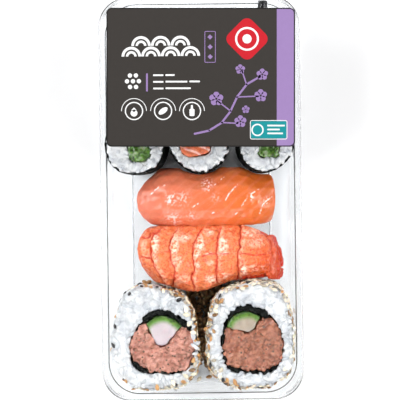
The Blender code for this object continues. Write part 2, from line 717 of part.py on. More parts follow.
def crowded(point, placed):
    """True where a seed would touch another, the nigiri above or the tray's wall."""
    if any((point - other).length < SEED_SPACING for other in placed):
        return True
    beside_nigiri = point.y > CLEAR_OF_NIGIRI[1] and point.x < CLEAR_OF_NIGIRI[0]
    low = point.z < CLEAR_OF_WALL[2]
    beside_wall = low and (abs(point.x) > CLEAR_OF_WALL[0] or point.y < CLEAR_OF_WALL[1])
    return beside_nigiri or beside_wall


def main():
    clear_scene()
    tray_parts = bpy.data.collections.new("Takeaway sushi tray")
    bpy.context.scene.collection.children.link(tray_parts)
    materials = {
        "clear": new_material("Clear plastic", (0.93, 0.95, 0.96), 0.08, transmission=1.0),
        "card": new_material("Printed card", (0.075, 0.061, 0.051), 0.45),
        "rice": new_material("Cooked rice", (0.80, 0.82, 0.80), 0.4),
        "nori": new_material("Nori", (0.012, 0.014, 0.010), 0.5),
        "cucumber": new_material("Cucumber", (0.55, 0.66, 0.40), 0.35),
        "salmon": new_material("Raw salmon", (0.85, 0.27, 0.10), 0.3),
        "shrimp": new_material("Cooked shrimp", (0.88, 0.36, 0.17), 0.35),
        "filling": new_material("Fish mix", (0.58, 0.28, 0.19), 0.5),
        "sesame": new_material("Sesame", (0.62, 0.42, 0.20), 0.5),
        "sauce": new_material("Soy sauce", (0.02, 0.008, 0.004), 0.1),
        "black": new_material("Black plastic", (0.01, 0.01, 0.01), 0.35),
    }
    add_tray(materials["clear"], tray_parts)
    add_lid(materials["clear"], tray_parts)
    add_label(materials["card"], tray_parts)
    add_turned("soy_ampoule", AMPOULE_PROFILE, materials["sauce"], tray_parts)
    add_turned("soy_nozzle", NOZZLE_PROFILE, materials["black"], tray_parts)
    for name, middle, half, lean, filling, seed in HOSOMAKI:
        add_hosomaki(name, middle, half, lean, filling, seed, materials, tray_parts)
    add_rice_block("salmon_rice", SALMON, 31, materials, tray_parts)
    bm = bmesh.new()
    add_slice(bm, SALMON, salmon_relief, SALMON_GRID)
    add_piece("salmon", bm, materials["salmon"], tray_parts)
    add_rice_block("shrimp_rice", SHRIMP, 37, materials, tray_parts)
    add_shrimp(materials, tray_parts)
    for name, roll in URAMAKI.items():
        add_uramaki(name, roll, materials, tray_parts)


main()
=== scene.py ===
"""Looks of the takeaway sushi tray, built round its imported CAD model.

Everything is in metres and in the frame of the CAD model. Tables of places are in millimetres
and go through MM. The food is shaped from copies of the CAD solids, made finer and rougher, and
the rice gets its grains and the wide rolls their seeds as meshes at true size.
"""

import json
import math
import random

import bmesh
import bpy
import numpy as np
from bpy.props import FloatProperty, FloatVectorProperty, PointerProperty
from mathutils import Matrix, Vector, noise
from mathutils.bvhtree import BVHTree

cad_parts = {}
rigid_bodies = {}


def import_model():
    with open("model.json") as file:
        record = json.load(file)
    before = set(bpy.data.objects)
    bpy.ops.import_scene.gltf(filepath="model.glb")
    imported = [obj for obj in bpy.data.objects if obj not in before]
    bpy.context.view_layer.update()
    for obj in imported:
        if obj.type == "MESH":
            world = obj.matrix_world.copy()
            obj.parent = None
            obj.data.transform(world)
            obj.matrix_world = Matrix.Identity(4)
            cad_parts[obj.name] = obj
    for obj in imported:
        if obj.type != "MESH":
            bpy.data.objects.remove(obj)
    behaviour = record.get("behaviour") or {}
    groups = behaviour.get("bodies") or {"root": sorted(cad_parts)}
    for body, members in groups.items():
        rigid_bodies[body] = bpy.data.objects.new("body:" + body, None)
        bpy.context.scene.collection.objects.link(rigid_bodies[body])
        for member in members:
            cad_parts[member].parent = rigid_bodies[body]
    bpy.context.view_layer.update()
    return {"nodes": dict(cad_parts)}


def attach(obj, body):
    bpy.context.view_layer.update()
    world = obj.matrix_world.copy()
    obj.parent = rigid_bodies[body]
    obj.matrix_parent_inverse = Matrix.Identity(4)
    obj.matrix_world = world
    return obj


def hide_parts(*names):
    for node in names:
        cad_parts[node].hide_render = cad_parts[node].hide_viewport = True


bl_info = {
    "name": "Takeaway Sushi Tray",
    "version": (1, 0, 0),
    "blender": (4, 5, 0),
    "location": "View3D > Sidebar > Sushi Tray",
    "description": "Dresses the CAD model of a takeaway sushi tray",
    "category": "Object",
}

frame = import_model()
MM = 0.001

# Rings of the tray, from its middle outwards: half width, half length, corner radius, height
TRAY_RINGS = (
    (31.6, 85.5, 6.0, 2.0),
    (32.3, 86.2, 6.7, 0.5),
    (39.8, 87.0, 12.0, 0.52),
    (41.3, 87.4, 12.7, 1.0),
    (41.8, 87.9, 13.1, 2.3),
    (42.8, 88.9, 14.0, 11.9),
    (43.4, 89.5, 14.6, 12.5),
    (45.45, 91.7, 16.6, 12.46),
    (46.05, 92.3, 17.2, 12.1),
    (46.25, 92.5, 17.4, 10.9),
)
FLANGE_RING = -4  # where the wall turns out into the flange
# Rings of the lid, from its top outwards
LID_RINGS = (
    (42.9, 87.2, 11.6, 42.0),
    (43.65, 87.95, 12.3, 41.7),
    (44.0, 88.3, 12.7, 40.9),
    (45.1, 91.3, 13.8, 13.75),
    (45.35, 91.55, 14.05, 13.25),
    (46.05, 92.3, 14.8, 13.2),
)
CORNER_STEPS = 12

# Painted shade: grey of the line round the tray's raised panel, where the clear plastic's fold shows
# dark
CREASE_SHADE = (0.2, 0.21, 0.23)  # the line round the tray's raised panel
CREASE_WIDTH = 0.4
CREASE_END = 80.0
RIM_FADE = 1.2  # from the wall to where the flange is clearest
RIM_CLEAR = 0.8
TRAY_IOR = 1.5
LID_IOR = 1.15  # low, so that the lid's walls don't darken the food

LABEL_MIDDLE = (0.5, 52.9)
LABEL_HALF = (41.2, 30.35)
LABEL_CORNER = 2.3
LABEL_TURN = -0.7  # degrees
STRIP_EDGE = 33.2  # from the card's middle to its side strip
LABEL_UNDER = 42.3
LABEL_TOP = 42.6
INK_SUNK = 0.02  # how far the print starts inside the card

# The line on which the ampoule lies
AMPOULE_BASE = (27.6, 42.9, 11.2)
AMPOULE_TIP = (29.1, 90.0, 16.4)
# The ampoule from its foot to its tip: height and radius
AMPOULE_STATIONS = (
    (0.0, 0.6), (0.05, 4.6), (0.4, 6.9), (1.4, 8.0), (3.0, 8.4), (8.0, 8.55), (14.0, 8.6), (22.0, 8.55),
    (27.0, 8.35), (30.0, 7.7), (32.0, 6.5), (34.0, 4.3), (35.4, 3.1), (37.0, 2.7), (38.5, 2.6),
    (38.6, 0.4),
)
# The nozzle, in the same way
NOZZLE_STATIONS = (
    (38.8, 0.4), (38.85, 2.4), (39.3, 2.5), (40.3, 2.45), (41.0, 2.35), (42.0, 2.3), (44.5, 2.25),
    (46.4, 2.15), (47.0, 1.95), (47.2, 1.6), (47.22, 0.3),
)

# Thin rolls: name, middle of the cut face, angle at which rice hides the nori, seed
THIN_ROLLS = (
    ("left", (-29.5, 24.2), 212, 3),
    ("middle", (-0.5, 25.7), 246, 5),
    ("right", (29.2, 24.4), 318, 8),
)
THIN_ROLL_TOP = 28.0
HIDDEN_REACH = 32.0  # degrees to each side of that angle
HIDDEN_FADE = 10.0
NORI_DROP = 0.3  # how far the nori ends below the cut
NORI_HIDDEN = 1.6  # and how much lower where rice hides it

# Wide rolls: name, middle of the filling, seed
WIDE_ROLLS = (
    ("left", (-17.7, -64.6), 11),
    ("right", (21.0, -65.5), 23),
)
INWARD = {"left": 1, "right": -1}  # the way from each roll to the other, along X
WIDE_ROLL_TOP = 30.0
SKIN_DEPTH = 4.2  # of the green under the cucumber's skin

FOOD_FOOT = 2.3

# The most grains or seeds on one piece, and the least gap between two seeds in metres
THIN_GRAINS = 420
SLICE_GRAINS = 750
WIDE_GRAINS = 1500
ROLL_SEEDS = 900
SEED_GAP = 0.0016

CUT_LEVEL = 0.2  # how much of a grain's rise above the cut is left

# Brightness of a grain by its tone, which differs at random and, on the cut faces of the wide rolls, is
# lowered near the nori as painted shade
GRAIN_TONES = ((0.0, (0.6, 0.65, 0.7)), (0.5, (0.77, 0.79, 0.81)), (0.75, 0.94), (1.0, 1.0))

# Angles between which the nori of a wide roll shows on the cut face, and how much of it
NORI_ARCS = {
    "left": ((22, 136, 1.0), (206, 246, 1.0), (240, 306, 0.6)),
    "right": ((52, 134, 1.0), (126, 226, 0.8), (218, 324, 0.95)),
}
ARC_FADE = 7.0  # degrees
NORI_SUNK = 3.5  # how far the nori ends below the rice that hides it
MIX_SPREAD = 1.2  # how much further the fish mix reaches there

# Fat marks on the salmon, partly real fat and partly painted highlight, as lines seen from above
FAT_AND_HIGHLIGHT_MARKS = (
    ((-21.7, 3.1), (-18.6, 5.4)), ((-18.6, 5.4), (-16.2, 6.0)), ((-22.3, 2.2), (-21.1, 3.4)),
    ((-14.6, -1.8), (-11.2, 3.2)), ((-4.0, -3.9), (-1.3, -2.3)), ((4.4, -6.6), (6.2, -5.7)),
    ((3.3, 3.4), (10.3, 9.3)), ((10.7, -1.2), (12.6, 2.0)), ((12.6, 2.0), (16.2, 5.9)),
    ((18.2, -3.6), (21.0, 0.7)), ((21.0, 0.7), (26.1, 4.0)), ((15.2, -7.1), (16.6, -5.8)),
    ((26.2, -6.8), (27.6, -2.9)), ((27.6, -2.9), (31.8, 0.3)),
)
# Patches of dots, partly fat and partly painted highlight: middle, reach and strength
FAT_AND_HIGHLIGHT_PATCHES = (
    (-13.6, -0.3, 2.4, 0.75), (2.7, 6.1, 2.2, 0.9), (-8.5, -0.1, 3.0, 0.45), (-12.8, -9.1, 3.0, 0.45),
    (6.6, 0.3, 2.0, 0.3), (22.5, 0.4, 1.3, 0.9), (-4.4, -7.4, 2.0, 0.3), (29.4, -1.6, 1.6, 0.8),
)
# Where the segments of the shrimp meet
SHRIMP_SEAMS = (
    ((-17.7, -14.4), (-21.3, -16.2), (-22.9, -19.8), (-23.1, -25.2), (-21.5, -30.0), (-19.1, -33.7),
     (-16.8, -38.5)),
    ((-11.1, -14.5), (-13.5, -18.1), (-14.6, -22.3), (-14.1, -27.1), (-12.0, -31.6), (-12.6, -39.2)),
    ((0.4, -14.0), (-2.4, -18.2), (-4.1, -23.0), (-4.1, -27.8), (-3.3, -30.8), (-4.6, -35.0),
     (-3.6, -40.5)),
    ((8.8, -14.1), (7.2, -18.3), (6.6, -23.7), (6.9, -28.0), (6.5, -31.6), (6.6, -37.6)),
    ((17.5, -12.4), (17.6, -18.5), (16.3, -25.7), (16.1, -31.7), (16.3, -36.5)),
    ((26.8, -15.6), (31.0, -19.8), (31.6, -25.9), (31.0, -33.4)),
    ((-27.0, -17.3), (-23.7, -17.7), (-20.7, -14.4)),
    ((-27.7, -26.3), (-23.8, -26.4), (-21.5, -29.4)),
)
# The cut along its back
SHRIMP_CUTS = (
    ((0.2, -25.6), (3.2, -25.0), (12.3, -25.1)),
    ((17.4, -25.0), (24.3, -25.8), (31.5, -25.4)),
)
# Its pale patches, partly its own pale flesh and partly painted highlight: middle, reach along X and Y,
# and strength
SHRIMP_PATCHES = (
    (-20.8, -19.8, 1.9, 4.6, 0.8), (-20.6, -25.4, 1.5, 3.4, 0.55), (-12.0, -21.1, 1.8, 4.6, 0.85),
    (-8.4, -17.6, 3.4, 1.9, 0.6), (-10.8, -27.6, 2.6, 3.0, 0.5), (-0.6, -20.1, 2.0, 3.9, 0.8),
    (-2.4, -24.8, 1.6, 2.2, 0.9), (3.4, -15.9, 2.2, 1.5, 0.7), (9.3, -21.1, 2.4, 3.4, 1.0),
    (9.6, -24.9, 3.2, 0.7, 0.9), (4.0, -24.8, 3.4, 0.5, 0.8), (18.8, -32.2, 2.0, 2.6, 1.0),
    (4.3, -36.3, 3.4, 1.9, 0.75), (10.5, -34.6, 2.4, 1.6, 0.6), (22.0, -16.1, 4.4, 2.0, 0.6),
    (-2.2, -29.6, 1.3, 2.2, 0.6), (3.8, -29.2, 2.0, 1.7, 0.55), (24.6, -20.2, 4.5, 2.2, 0.35),
    (-26.0, -21.5, 1.6, 3.0, 0.4), (-8.6, -36.0, 4.0, 2.4, 0.35), (24.0, -31.6, 4.0, 1.6, 0.45),
)
# Where the shrimp's tail starts, and the curve in which it ends, as pairs of Y and X
TAIL_START = 31.0
TAIL_EDGE = (
    (-38.2, 35.0), (-36.5, 37.0), (-32.0, 37.6), (-28.0, 37.3), (-24.0, 36.4), (-21.0, 34.8),
    (-18.5, 33.4),
)

TAIL_ROOT = 29.5  # where the tail's colour starts, in a curve round TAIL_MIDDLE
TAIL_BOW = 0.012
TAIL_MIDDLE = -26.0
RED_RIM = (14.0, -34.6)  # beyond this X, and nearer than this Y, the rim is red
DEEP_FLESH = (19.0, -20.5)  # in the same way, for the deeper colour of the flesh

# The gap between the wide rolls: from this far off a roll's middle, up to this height
GAP_START = 10
GAP_TOP = 24
# Where seeds are heaped in it: from and to along X and Y, and the height below which they lie
HEAP_X = (-7, 10)
HEAP_Y = (-77, -41)
HEAP_TOP = 5

# Camera: shift in metres and turn in radians, as the photo shows the tray
CAMERA_SHIFT = (-0.00046, -0.00069)
CAMERA_TURN = -0.012
# Soft lights: name, place in metres and share of the key light's power
LIGHTS = (
    ("Light left", (-0.62, 0.05, 0.55), 1.15),
    ("Light right", (0.62, -0.05, 0.55), 1.0),
    ("Light head", (0.05, 0.68, 0.55), 0.85),
    ("Light foot", (-0.05, -0.68, 0.55), 0.6),
)
LIGHT_WIDTH = 0.45
# Brightness of the surroundings, from the horizon to straight above
SKY_BRIGHTNESS = ((0.0, 0.6), (0.15, 0.9), (0.3, 1.0), (0.74, 1.0), (0.9, 0.04))


def screen(red, green, blue):
    """A colour given as it shows on a screen, 0 to 255, as Blender's linear colour."""
    return tuple(((c / 255 + 0.055) / 1.055) ** 2.4 if c > 10 else c / 3294 for c in (red, green, blue))


def size(name, description, default):
    return FloatProperty(
        name=name, description=description, default=default, subtype="DISTANCE", unit="LENGTH"
    )


def colour(name, description, default):
    return FloatVectorProperty(
        name=name, description=description, default=default, subtype="COLOR", size=3, min=0.0, max=1.0
    )


class PackSettings(bpy.types.PropertyGroup):
    """Sizes and colours of the clear pack and its printed card."""

    tray_wall: size("Tray wall", "Thickness of the tray's plastic", 0.0005)
    lid_wall: size("Lid wall", "Thickness of the lid's plastic", 0.00045)
    crease: size("Crease", "Width of the round at each fold of the plastic", 0.0004)
    plastic: colour("Plastic", "Tint of the clear plastic", (0.985, 0.992, 0.997))
    ink: size("Ink", "Height of the print above the card", 0.00004)
    card: colour("Card", "Ground colour of the card", screen(50, 45, 41))
    strip: colour("Strip", "Colour of the card's side strip", screen(156, 128, 182))
    white: colour("White print", "Colour of the white print", screen(250, 250, 250))
    red: colour("Red print", "Colour of the red field", screen(205, 22, 38))
    teal: colour("Teal print", "Colour of the teal field", screen(10, 146, 152))
    sauce: colour("Sauce", "Colour of the soy sauce in its ampoule", (0.018, 0.007, 0.004))
    nozzle: colour("Nozzle", "Colour of the ampoule's nozzle", (0.012, 0.012, 0.013))


class RiceSettings(bpy.types.PropertyGroup):
    """Sizes and colours of the rice."""

    length: size("Grain length", "Length of a cooked grain", 0.0048)
    width: size("Grain width", "Width of a cooked grain", 0.0022)
    spacing: size("Grain spacing", "Least distance between the middles of two grains", 0.0019)
    light: colour("Light rice", "Colour of the lightest grains", screen(220, 220, 218))
    # Dark end of the rice's mottle; on the core between the grains it also stands for painted shade
    dark: colour("Dark rice", "Colour of the rice between the grains", screen(176, 178, 183))
    # Painted shade: the core low on the sides where the wide rolls face each other
    deep: colour("Deep rice", "Colour of the rice low between the wide rolls", screen(70, 52, 36))


class FillingSettings(bpy.types.PropertyGroup):
    """Colours of the fish, cucumber and nori."""

    nori: colour("Nori", "Colour of the nori", screen(15, 17, 15))
    salmon_pink: colour("Salmon, pale end", "Colour of its left end", screen(196, 108, 84))
    salmon: colour("Salmon", "Colour of its right end", screen(196, 94, 34))
    # Colour of the fat marks, which on the salmon slice are also painted highlight
    fat_and_highlight: colour("Fat", "Colour of the salmon's fat marks", screen(250, 226, 222))
    shrimp: colour("Shrimp", "Colour of the shrimp's back", screen(212, 114, 68))
    # Colour of the pale patches and of the painted highlight beside each seam
    shrimp_pale: colour("Pale shrimp", "Colour of the shrimp's pale patches", screen(240, 204, 184))
    shrimp_deep: colour("Shrimp by its tail", "Colour of its flesh there", screen(204, 84, 22))
    shrimp_tail: colour("Shrimp tail", "Colour of the shrimp's tail", screen(182, 34, 10))
    mix: colour("Fish mix", "Colour of the fish mix", screen(158, 112, 97))
    flesh: colour("Cucumber flesh", "Colour of the cucumber's flesh", screen(180, 168, 172))
    skin: colour("Cucumber skin", "Colour of the cucumber's skin", screen(56, 88, 26))
    green: colour("Cucumber rind", "Colour of the flesh next to the skin", screen(86, 124, 46))


class SeedSettings(bpy.types.PropertyGroup):
    """Size and colours of the sesame seeds."""

    length: size("Seed length", "Length of a sesame seed", 0.0030)
    pale: colour("White sesame", "Colour of the palest seeds", screen(250, 236, 208))
    gold: colour("Toasted sesame", "Colour of the toasted seeds", screen(196, 146, 88))
    black: colour("Black sesame", "Colour of the black seeds", screen(34, 28, 30))


class StageSettings(bpy.types.PropertyGroup):
    """Camera and light."""

    height: size("Camera height", "Height of the camera above the table", 0.662)
    lens: FloatProperty(name="Lens", description="Focal length in millimetres", default=127.7)
    sky: FloatProperty(name="Sky", description="Strength of the white surroundings", default=0.38)
    key: FloatProperty(name="Key light", description="Power of the main light in watts", default=3.3)


def rest():
    """Object mode with nothing selected."""
    if bpy.context.object and bpy.context.object.mode != "OBJECT":
        bpy.ops.object.mode_set(mode="OBJECT")
    bpy.ops.object.select_all(action="DESELECT")


def work_on(piece):
    """Object mode with one piece selected and active."""
    rest()
    bpy.context.view_layer.objects.active = piece
    piece.select_set(True)


def edit(piece):
    """Edit mode with all vertices of a piece selected."""
    work_on(piece)
    bpy.ops.object.mode_set(mode="EDIT")
    bpy.ops.mesh.select_mode(type="VERT")
    bpy.ops.mesh.select_all(action="SELECT")


def face_outwards():
    """In edit mode, turns all faces outwards."""
    bpy.ops.mesh.select_all(action="SELECT")
    bpy.ops.mesh.normals_make_consistent(inside=False)


def add_plate(x, y, height, width, length, corner, steps, turn=0.0):
    """In edit mode, adds a rectangle with round corners, selected. Lengths are in millimetres."""
    middle = (x * MM, y * MM, height * MM)
    bpy.ops.mesh.select_all(action="DESELECT")
    bpy.ops.mesh.primitive_plane_add(size=1.0, location=middle)
    bpy.ops.transform.resize(value=(width * MM, length * MM, 1.0), center_override=middle)
    if corner:
        bpy.ops.mesh.bevel(offset=corner * MM, segments=steps, affect="VERTICES", profile=0.5)
    if turn:
        bpy.ops.transform.rotate(value=-math.radians(turn), orient_axis="Z", center_override=middle)


def empty_piece(name):
    rest()
    bpy.ops.object.add(type="MESH", location=(0, 0, 0))
    piece = bpy.context.object
    piece.name = piece.data.name = name
    return piece


def apply_modifier(piece, name, kind, **settings):
    work_on(piece)
    modifier = piece.modifiers.new(name, kind)
    for key, value in settings.items():
        setattr(modifier, key, value)
    bpy.ops.object.modifier_apply(modifier=modifier.name)


def finish_piece(piece, material, replaced=(), angle=None):
    """Gives the piece its material and shading, and ties it to the CAD model."""
    work_on(piece)
    if angle is None:
        bpy.ops.object.shade_smooth()
    else:
        bpy.ops.object.shade_smooth_by_angle(angle=math.radians(angle))
    piece.data.materials.clear()
    piece.data.materials.append(material)
    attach(piece, "root")
    if replaced:
        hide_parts(*replaced)
    rest()


def unit(values):
    """The values, kept from 0 to 1."""
    return np.clip(values, 0.0, 1.0)


def places(mesh):
    flat = np.empty(len(mesh.vertices) * 3)
    mesh.vertices.foreach_get("co", flat)
    return flat.reshape(-1, 3)


def directions(mesh):
    flat = np.empty(len(mesh.vertices) * 3)
    mesh.vertices.foreach_get("normal", flat)
    return flat.reshape(-1, 3)


def set_places(mesh, co):
    mesh.vertices.foreach_set("co", np.ascontiguousarray(co).ravel())
    mesh.update()


def lumps(points, width, seed=0.0):
    """Smooth bumps from about -1 to 1, of the given width in millimetres, at points in metres."""
    scaled = points / (width * MM) + np.array((seed, seed * 0.7, seed * 1.3))
    return np.array([2.0 * noise.noise(Vector(p)) for p in scaled])


def paint(mesh, name, values):
    """Stores one number at each vertex, which a material reads."""
    layer = mesh.attributes.new(name, "FLOAT", "POINT")
    layer.data.foreach_set("value", np.ascontiguousarray(values, dtype=float))


def copy_of_node(node, name):
    """A CAD node's mesh as a piece of its own, with its loose triangles merged."""
    rest()
    mesh = frame["nodes"][node].data.copy()
    piece = bpy.data.objects.new(name, mesh)
    bpy.context.scene.collection.objects.link(piece)
    edit(piece)
    bpy.ops.mesh.remove_doubles(threshold=1e-6)
    bpy.ops.mesh.customdata_custom_splitnormals_clear()
    rest()
    mesh.name = name
    return piece


def fine_copy(node, name, grid, passes, shrink=0.0):
    """A copy of a CAD node with an even fine mesh and its facets smoothed away."""
    piece = copy_of_node(node, name)
    apply_modifier(piece, "Even mesh", "REMESH", mode="VOXEL", voxel_size=grid * MM)
    apply_modifier(piece, "Round", "SMOOTH", factor=0.5, iterations=passes)
    if shrink:
        apply_modifier(piece, "Shrink", "DISPLACE", strength=-shrink * MM, mid_level=0.0)
    return piece


def push(piece, amounts):
    """Moves each vertex along its normal by its own amount in millimetres, to the places returned."""
    mesh = piece.data
    set_places(mesh, places(mesh) + directions(mesh) * (amounts * MM)[:, None])
    return places(mesh)


def around(piece, middle):
    """Reach from a roll's middle in millimetres, angle in degrees and height at each vertex."""
    co = places(piece.data) / MM
    across, along = co[:, 0] - middle[0], co[:, 1] - middle[1]
    return np.hypot(across, along), np.degrees(np.arctan2(along, across)) % 360, co[:, 2]


def surface_of(*pieces):
    """One search tree over the meshes of several pieces."""
    points = []
    faces = []
    for piece in pieces:
        start = len(points)
        points.extend(Vector(p) for p in places(piece.data))
        faces.extend([start + v for v in face.vertices] for face in piece.data.polygons)
    return BVHTree.FromPolygons(points, faces)


def mark_selected(piece, number):
    bm = bmesh.from_edit_mesh(piece.data)
    layer = bm.verts.layers.int.get("ring") or bm.verts.layers.int.new("ring")
    for vertex in bm.verts:
        if vertex.select:
            vertex[layer] = number
    bmesh.update_edit_mesh(piece.data)


def select_marked(piece, *numbers):
    """Selects the edges that lie wholly on one of the numbered rings."""
    bpy.ops.mesh.select_all(action="DESELECT")
    bm = bmesh.from_edit_mesh(piece.data)
    layer = bm.verts.layers.int.get("ring")
    for line in bm.edges:
        first, second = (vertex[layer] for vertex in line.verts)
        if first == second and first in numbers:
            line.select = True
    bm.select_flush_mode()
    bmesh.update_edit_mesh(piece.data)


def mould(name, rings, wall, ior, line=0.0):
    """A clear sheet through the rings, its folds rounded and the wall added on its underside."""
    pack = bpy.context.scene.sushi_pack
    piece = empty_piece(f"{name}_moulded")
    bpy.ops.object.mode_set(mode="EDIT")
    bpy.ops.mesh.select_mode(type="EDGE")
    for number, (half_x, half_y, radius, height) in enumerate(rings, start=1):
        add_plate(0, 0, height, half_x * 2, half_y * 2, radius, CORNER_STEPS)
        mark_selected(piece, number)
        if number > 1:
            bpy.ops.mesh.delete(type="ONLY_FACE")
            select_marked(piece, number - 1, number)
            bpy.ops.mesh.bridge_edge_loops()
    face_outwards()
    bm = bmesh.from_edit_mesh(piece.data)
    top = max(bm.faces, key=lambda face: face.calc_area())
    if top.normal.z < 0:
        bpy.ops.mesh.flip_normals()
    rest()
    apply_modifier(
        piece, "Folds", "BEVEL", width=pack.crease, segments=3, limit_method="ANGLE", angle_limit=0.2
    )
    apply_modifier(piece, "Wall", "SOLIDIFY", thickness=wall, offset=-1.0, use_even_offset=True)
    # The outer flange is so thin that it hardly shows
    co = np.abs(places(piece.data)) / MM
    wall_x, wall_y = TRAY_RINGS[FLANGE_RING][:2]
    outside = np.maximum(co[:, 0] - wall_x, co[:, 1] - wall_y)
    paint(piece.data, "rim", np.clip(outside / RIM_FADE, 0.0, RIM_CLEAR))
    plastic = clear_plastic(f"Clear {name} plastic", tuple(pack.plastic), ior, line)
    finish_piece(piece, plastic, (name,), 40)


def turned(name, stations, sides):
    """A turned solid along +Z from stations of height and radius, extruded from a first disc."""
    piece = empty_piece(name)
    bpy.ops.object.mode_set(mode="EDIT")
    start, radius = stations[0]
    bpy.ops.mesh.primitive_circle_add(
        vertices=sides, radius=radius * MM, fill_type="NGON", location=(0, 0, start * MM)
    )
    for (low, before), (high, after) in zip(stations, stations[1:]):
        bpy.ops.mesh.extrude_region_move(TRANSFORM_OT_translate={"value": (0, 0, (high - low) * MM)})
        scale = after / before
        bpy.ops.transform.resize(value=(scale, scale, 1.0), center_override=(0, 0, high * MM))
    face_outwards()
    rest()
    return piece


def add_node(tree, kind, inputs=None, **settings):
    """Adds a node, makes its settings, and feeds its inputs from sockets or plain values."""
    made = tree.nodes.new(kind)
    for key, value in settings.items():
        setattr(made, key, value)
    for key, value in (inputs or {}).items():
        if isinstance(value, bpy.types.NodeSocket):
            tree.links.new(value, made.inputs[key])
        else:
            made.inputs[key].default_value = value
    return made


def blended(tree, factor, first, second, blend="MIX"):
    """The colour socket of a colour mix."""
    first, second = (c if isinstance(c, bpy.types.NodeSocket) else (*c, 1.0) for c in (first, second))
    mix = add_node(
        tree, "ShaderNodeMix", {0: factor, 6: first, 7: second}, data_type="RGBA", blend_type=blend
    )
    return mix.outputs[2]


def calculated(tree, operation, first, second=0.0, **settings):
    """The result of a calculation with one or two numbers."""
    made = add_node(tree, "ShaderNodeMath", {0: first, 1: second}, operation=operation, **settings)
    return made.outputs[0]


def mapped(tree, value, start, end, low=0.0, high=1.0):
    """A number carried from one range to another."""
    made = add_node(tree, "ShaderNodeMapRange", {
        "Value": value, "From Min": start, "From Max": end, "To Min": low, "To Max": high})
    return made.outputs[0]


def new_material(name, **settings):
    """A material, its node tree and its Principled shader, with the named inputs set."""
    material = bpy.data.materials.new(name)
    material.use_nodes = True
    tree = material.node_tree
    shader = tree.nodes["Principled BSDF"]
    for key, value in settings.items():
        shader.inputs[key.replace("_", " ")].default_value = value
    return material, tree, shader


def new_group(name, inputs, outputs):
    """A shader node group and its input and output nodes."""
    group = bpy.data.node_groups.new(name, "ShaderNodeTree")
    for socket, kind, default in inputs:
        made = group.interface.new_socket(socket, in_out="INPUT", socket_type=kind)
        if default is not None:
            made.default_value = default
    for socket, kind in outputs:
        group.interface.new_socket(socket, in_out="OUTPUT", socket_type=kind)
    return group, group.nodes.new("NodeGroupInput"), group.nodes.new("NodeGroupOutput")


def where(tree):
    """The object coordinates."""
    return tree.nodes.new("ShaderNodeTexCoord").outputs["Object"]


def painted(tree, name):
    """A number that was stored at the vertices."""
    return add_node(tree, "ShaderNodeAttribute", attribute_name=name).outputs["Fac"]


def use_group(tree, name, output, **inputs):
    """The output of a shared group."""
    made = add_node(
        tree, "ShaderNodeGroup", {"Vector": where(tree), **inputs}, node_tree=bpy.data.node_groups[name]
    )
    return made.outputs[output]


def mottled(tree, light, dark, scale):
    """A colour that changes softly between a light and a dark tone."""
    return use_group(tree, "Mottled tone", "Color", Light=(*light, 1.0), Dark=(*dark, 1.0), Scale=scale)


def specks(tree, scale, reach):
    """1 on small scattered dots."""
    return use_group(tree, "Specks", "Mask", Scale=scale, Size=reach)


def toned(tint, share):
    """A colour made lighter or darker, by one share or by one for each of its parts."""
    return tuple(np.minimum(1.0, np.array(tuple(tint)) * share).tolist())


def dress(tree, shader, shown, scale, strength, depth=0.0002):
    """Feeds a shader its base colour and a fine relief."""
    relief = use_group(tree, "Fine relief", "Normal", Scale=scale, Strength=strength, Depth=depth)
    tree.links.new(shown, shader.inputs["Base Color"])
    tree.links.new(relief, shader.inputs["Normal"])


def ramp(tree, value, stops):
    """A colour ramp's colour socket, from stops of place and grey or colour."""
    made = add_node(tree, "ShaderNodeValToRGB", {"Fac": value})
    line = made.color_ramp
    line.elements[0].position = stops[0][0]
    line.elements[1].position = stops[-1][0]
    for place, _ in stops[1:-1]:
        line.elements.new(place)
    for element, (_, shown) in zip(line.elements, stops):
        element.color = (shown, shown, shown, 1.0) if isinstance(shown, float) else (*shown, 1.0)
    return made.outputs["Color"]


def noisy(tree, vector, scale, detail=3.0):
    """Soft noise from 0 to 1."""
    made = add_node(tree, "ShaderNodeTexNoise", {
        "Vector": vector, "Scale": scale, "Detail": detail, "Roughness": 0.55, "Distortion": 0.0})
    return made.outputs["Fac"]


def build_groups():
    """The effects that several materials share."""
    group, entry, leave = new_group(
        "Mottled tone",
        (("Vector", "NodeSocketVector", None), ("Light", "NodeSocketColor", (1, 1, 1, 1)),
         ("Dark", "NodeSocketColor", (0, 0, 0, 1)), ("Scale", "NodeSocketFloat", 200.0)),
        (("Color", "NodeSocketColor"),),
    )
    cloud = noisy(group, entry.outputs["Vector"], entry.outputs["Scale"])
    spread = ramp(group, cloud, ((0.32, 0.0), (0.68, 1.0)))
    group.links.new(
        blended(group, spread, entry.outputs["Dark"], entry.outputs["Light"]), leave.inputs["Color"]
    )

    group, entry, leave = new_group(
        "Fine relief",
        (("Vector", "NodeSocketVector", None), ("Scale", "NodeSocketFloat", 900.0),
         ("Strength", "NodeSocketFloat", 0.3), ("Depth", "NodeSocketFloat", 0.0002)),
        (("Normal", "NodeSocketVector"),),
    )
    cloud = noisy(group, entry.outputs["Vector"], entry.outputs["Scale"], 4.0)
    bump = add_node(
        group, "ShaderNodeBump",
        {"Strength": entry.outputs["Strength"], "Distance": entry.outputs["Depth"], "Height": cloud},
    )
    group.links.new(bump.outputs["Normal"], leave.inputs["Normal"])

    group, entry, leave = new_group(
        "Specks",
        (("Vector", "NodeSocketVector", None), ("Scale", "NodeSocketFloat", 500.0),
         ("Size", "NodeSocketFloat", 0.3)),
        (("Mask", "NodeSocketFloat"),),
    )
    sources = {key: entry.outputs[key] for key in ("Vector", "Scale")}
    cells = add_node(group, "ShaderNodeTexVoronoi", sources)
    inside = calculated(group, "SUBTRACT", entry.outputs["Size"], cells.outputs["Distance"])
    edge = calculated(group, "MULTIPLY", inside, 8.0, use_clamp=True)
    group.links.new(edge, leave.inputs["Mask"])


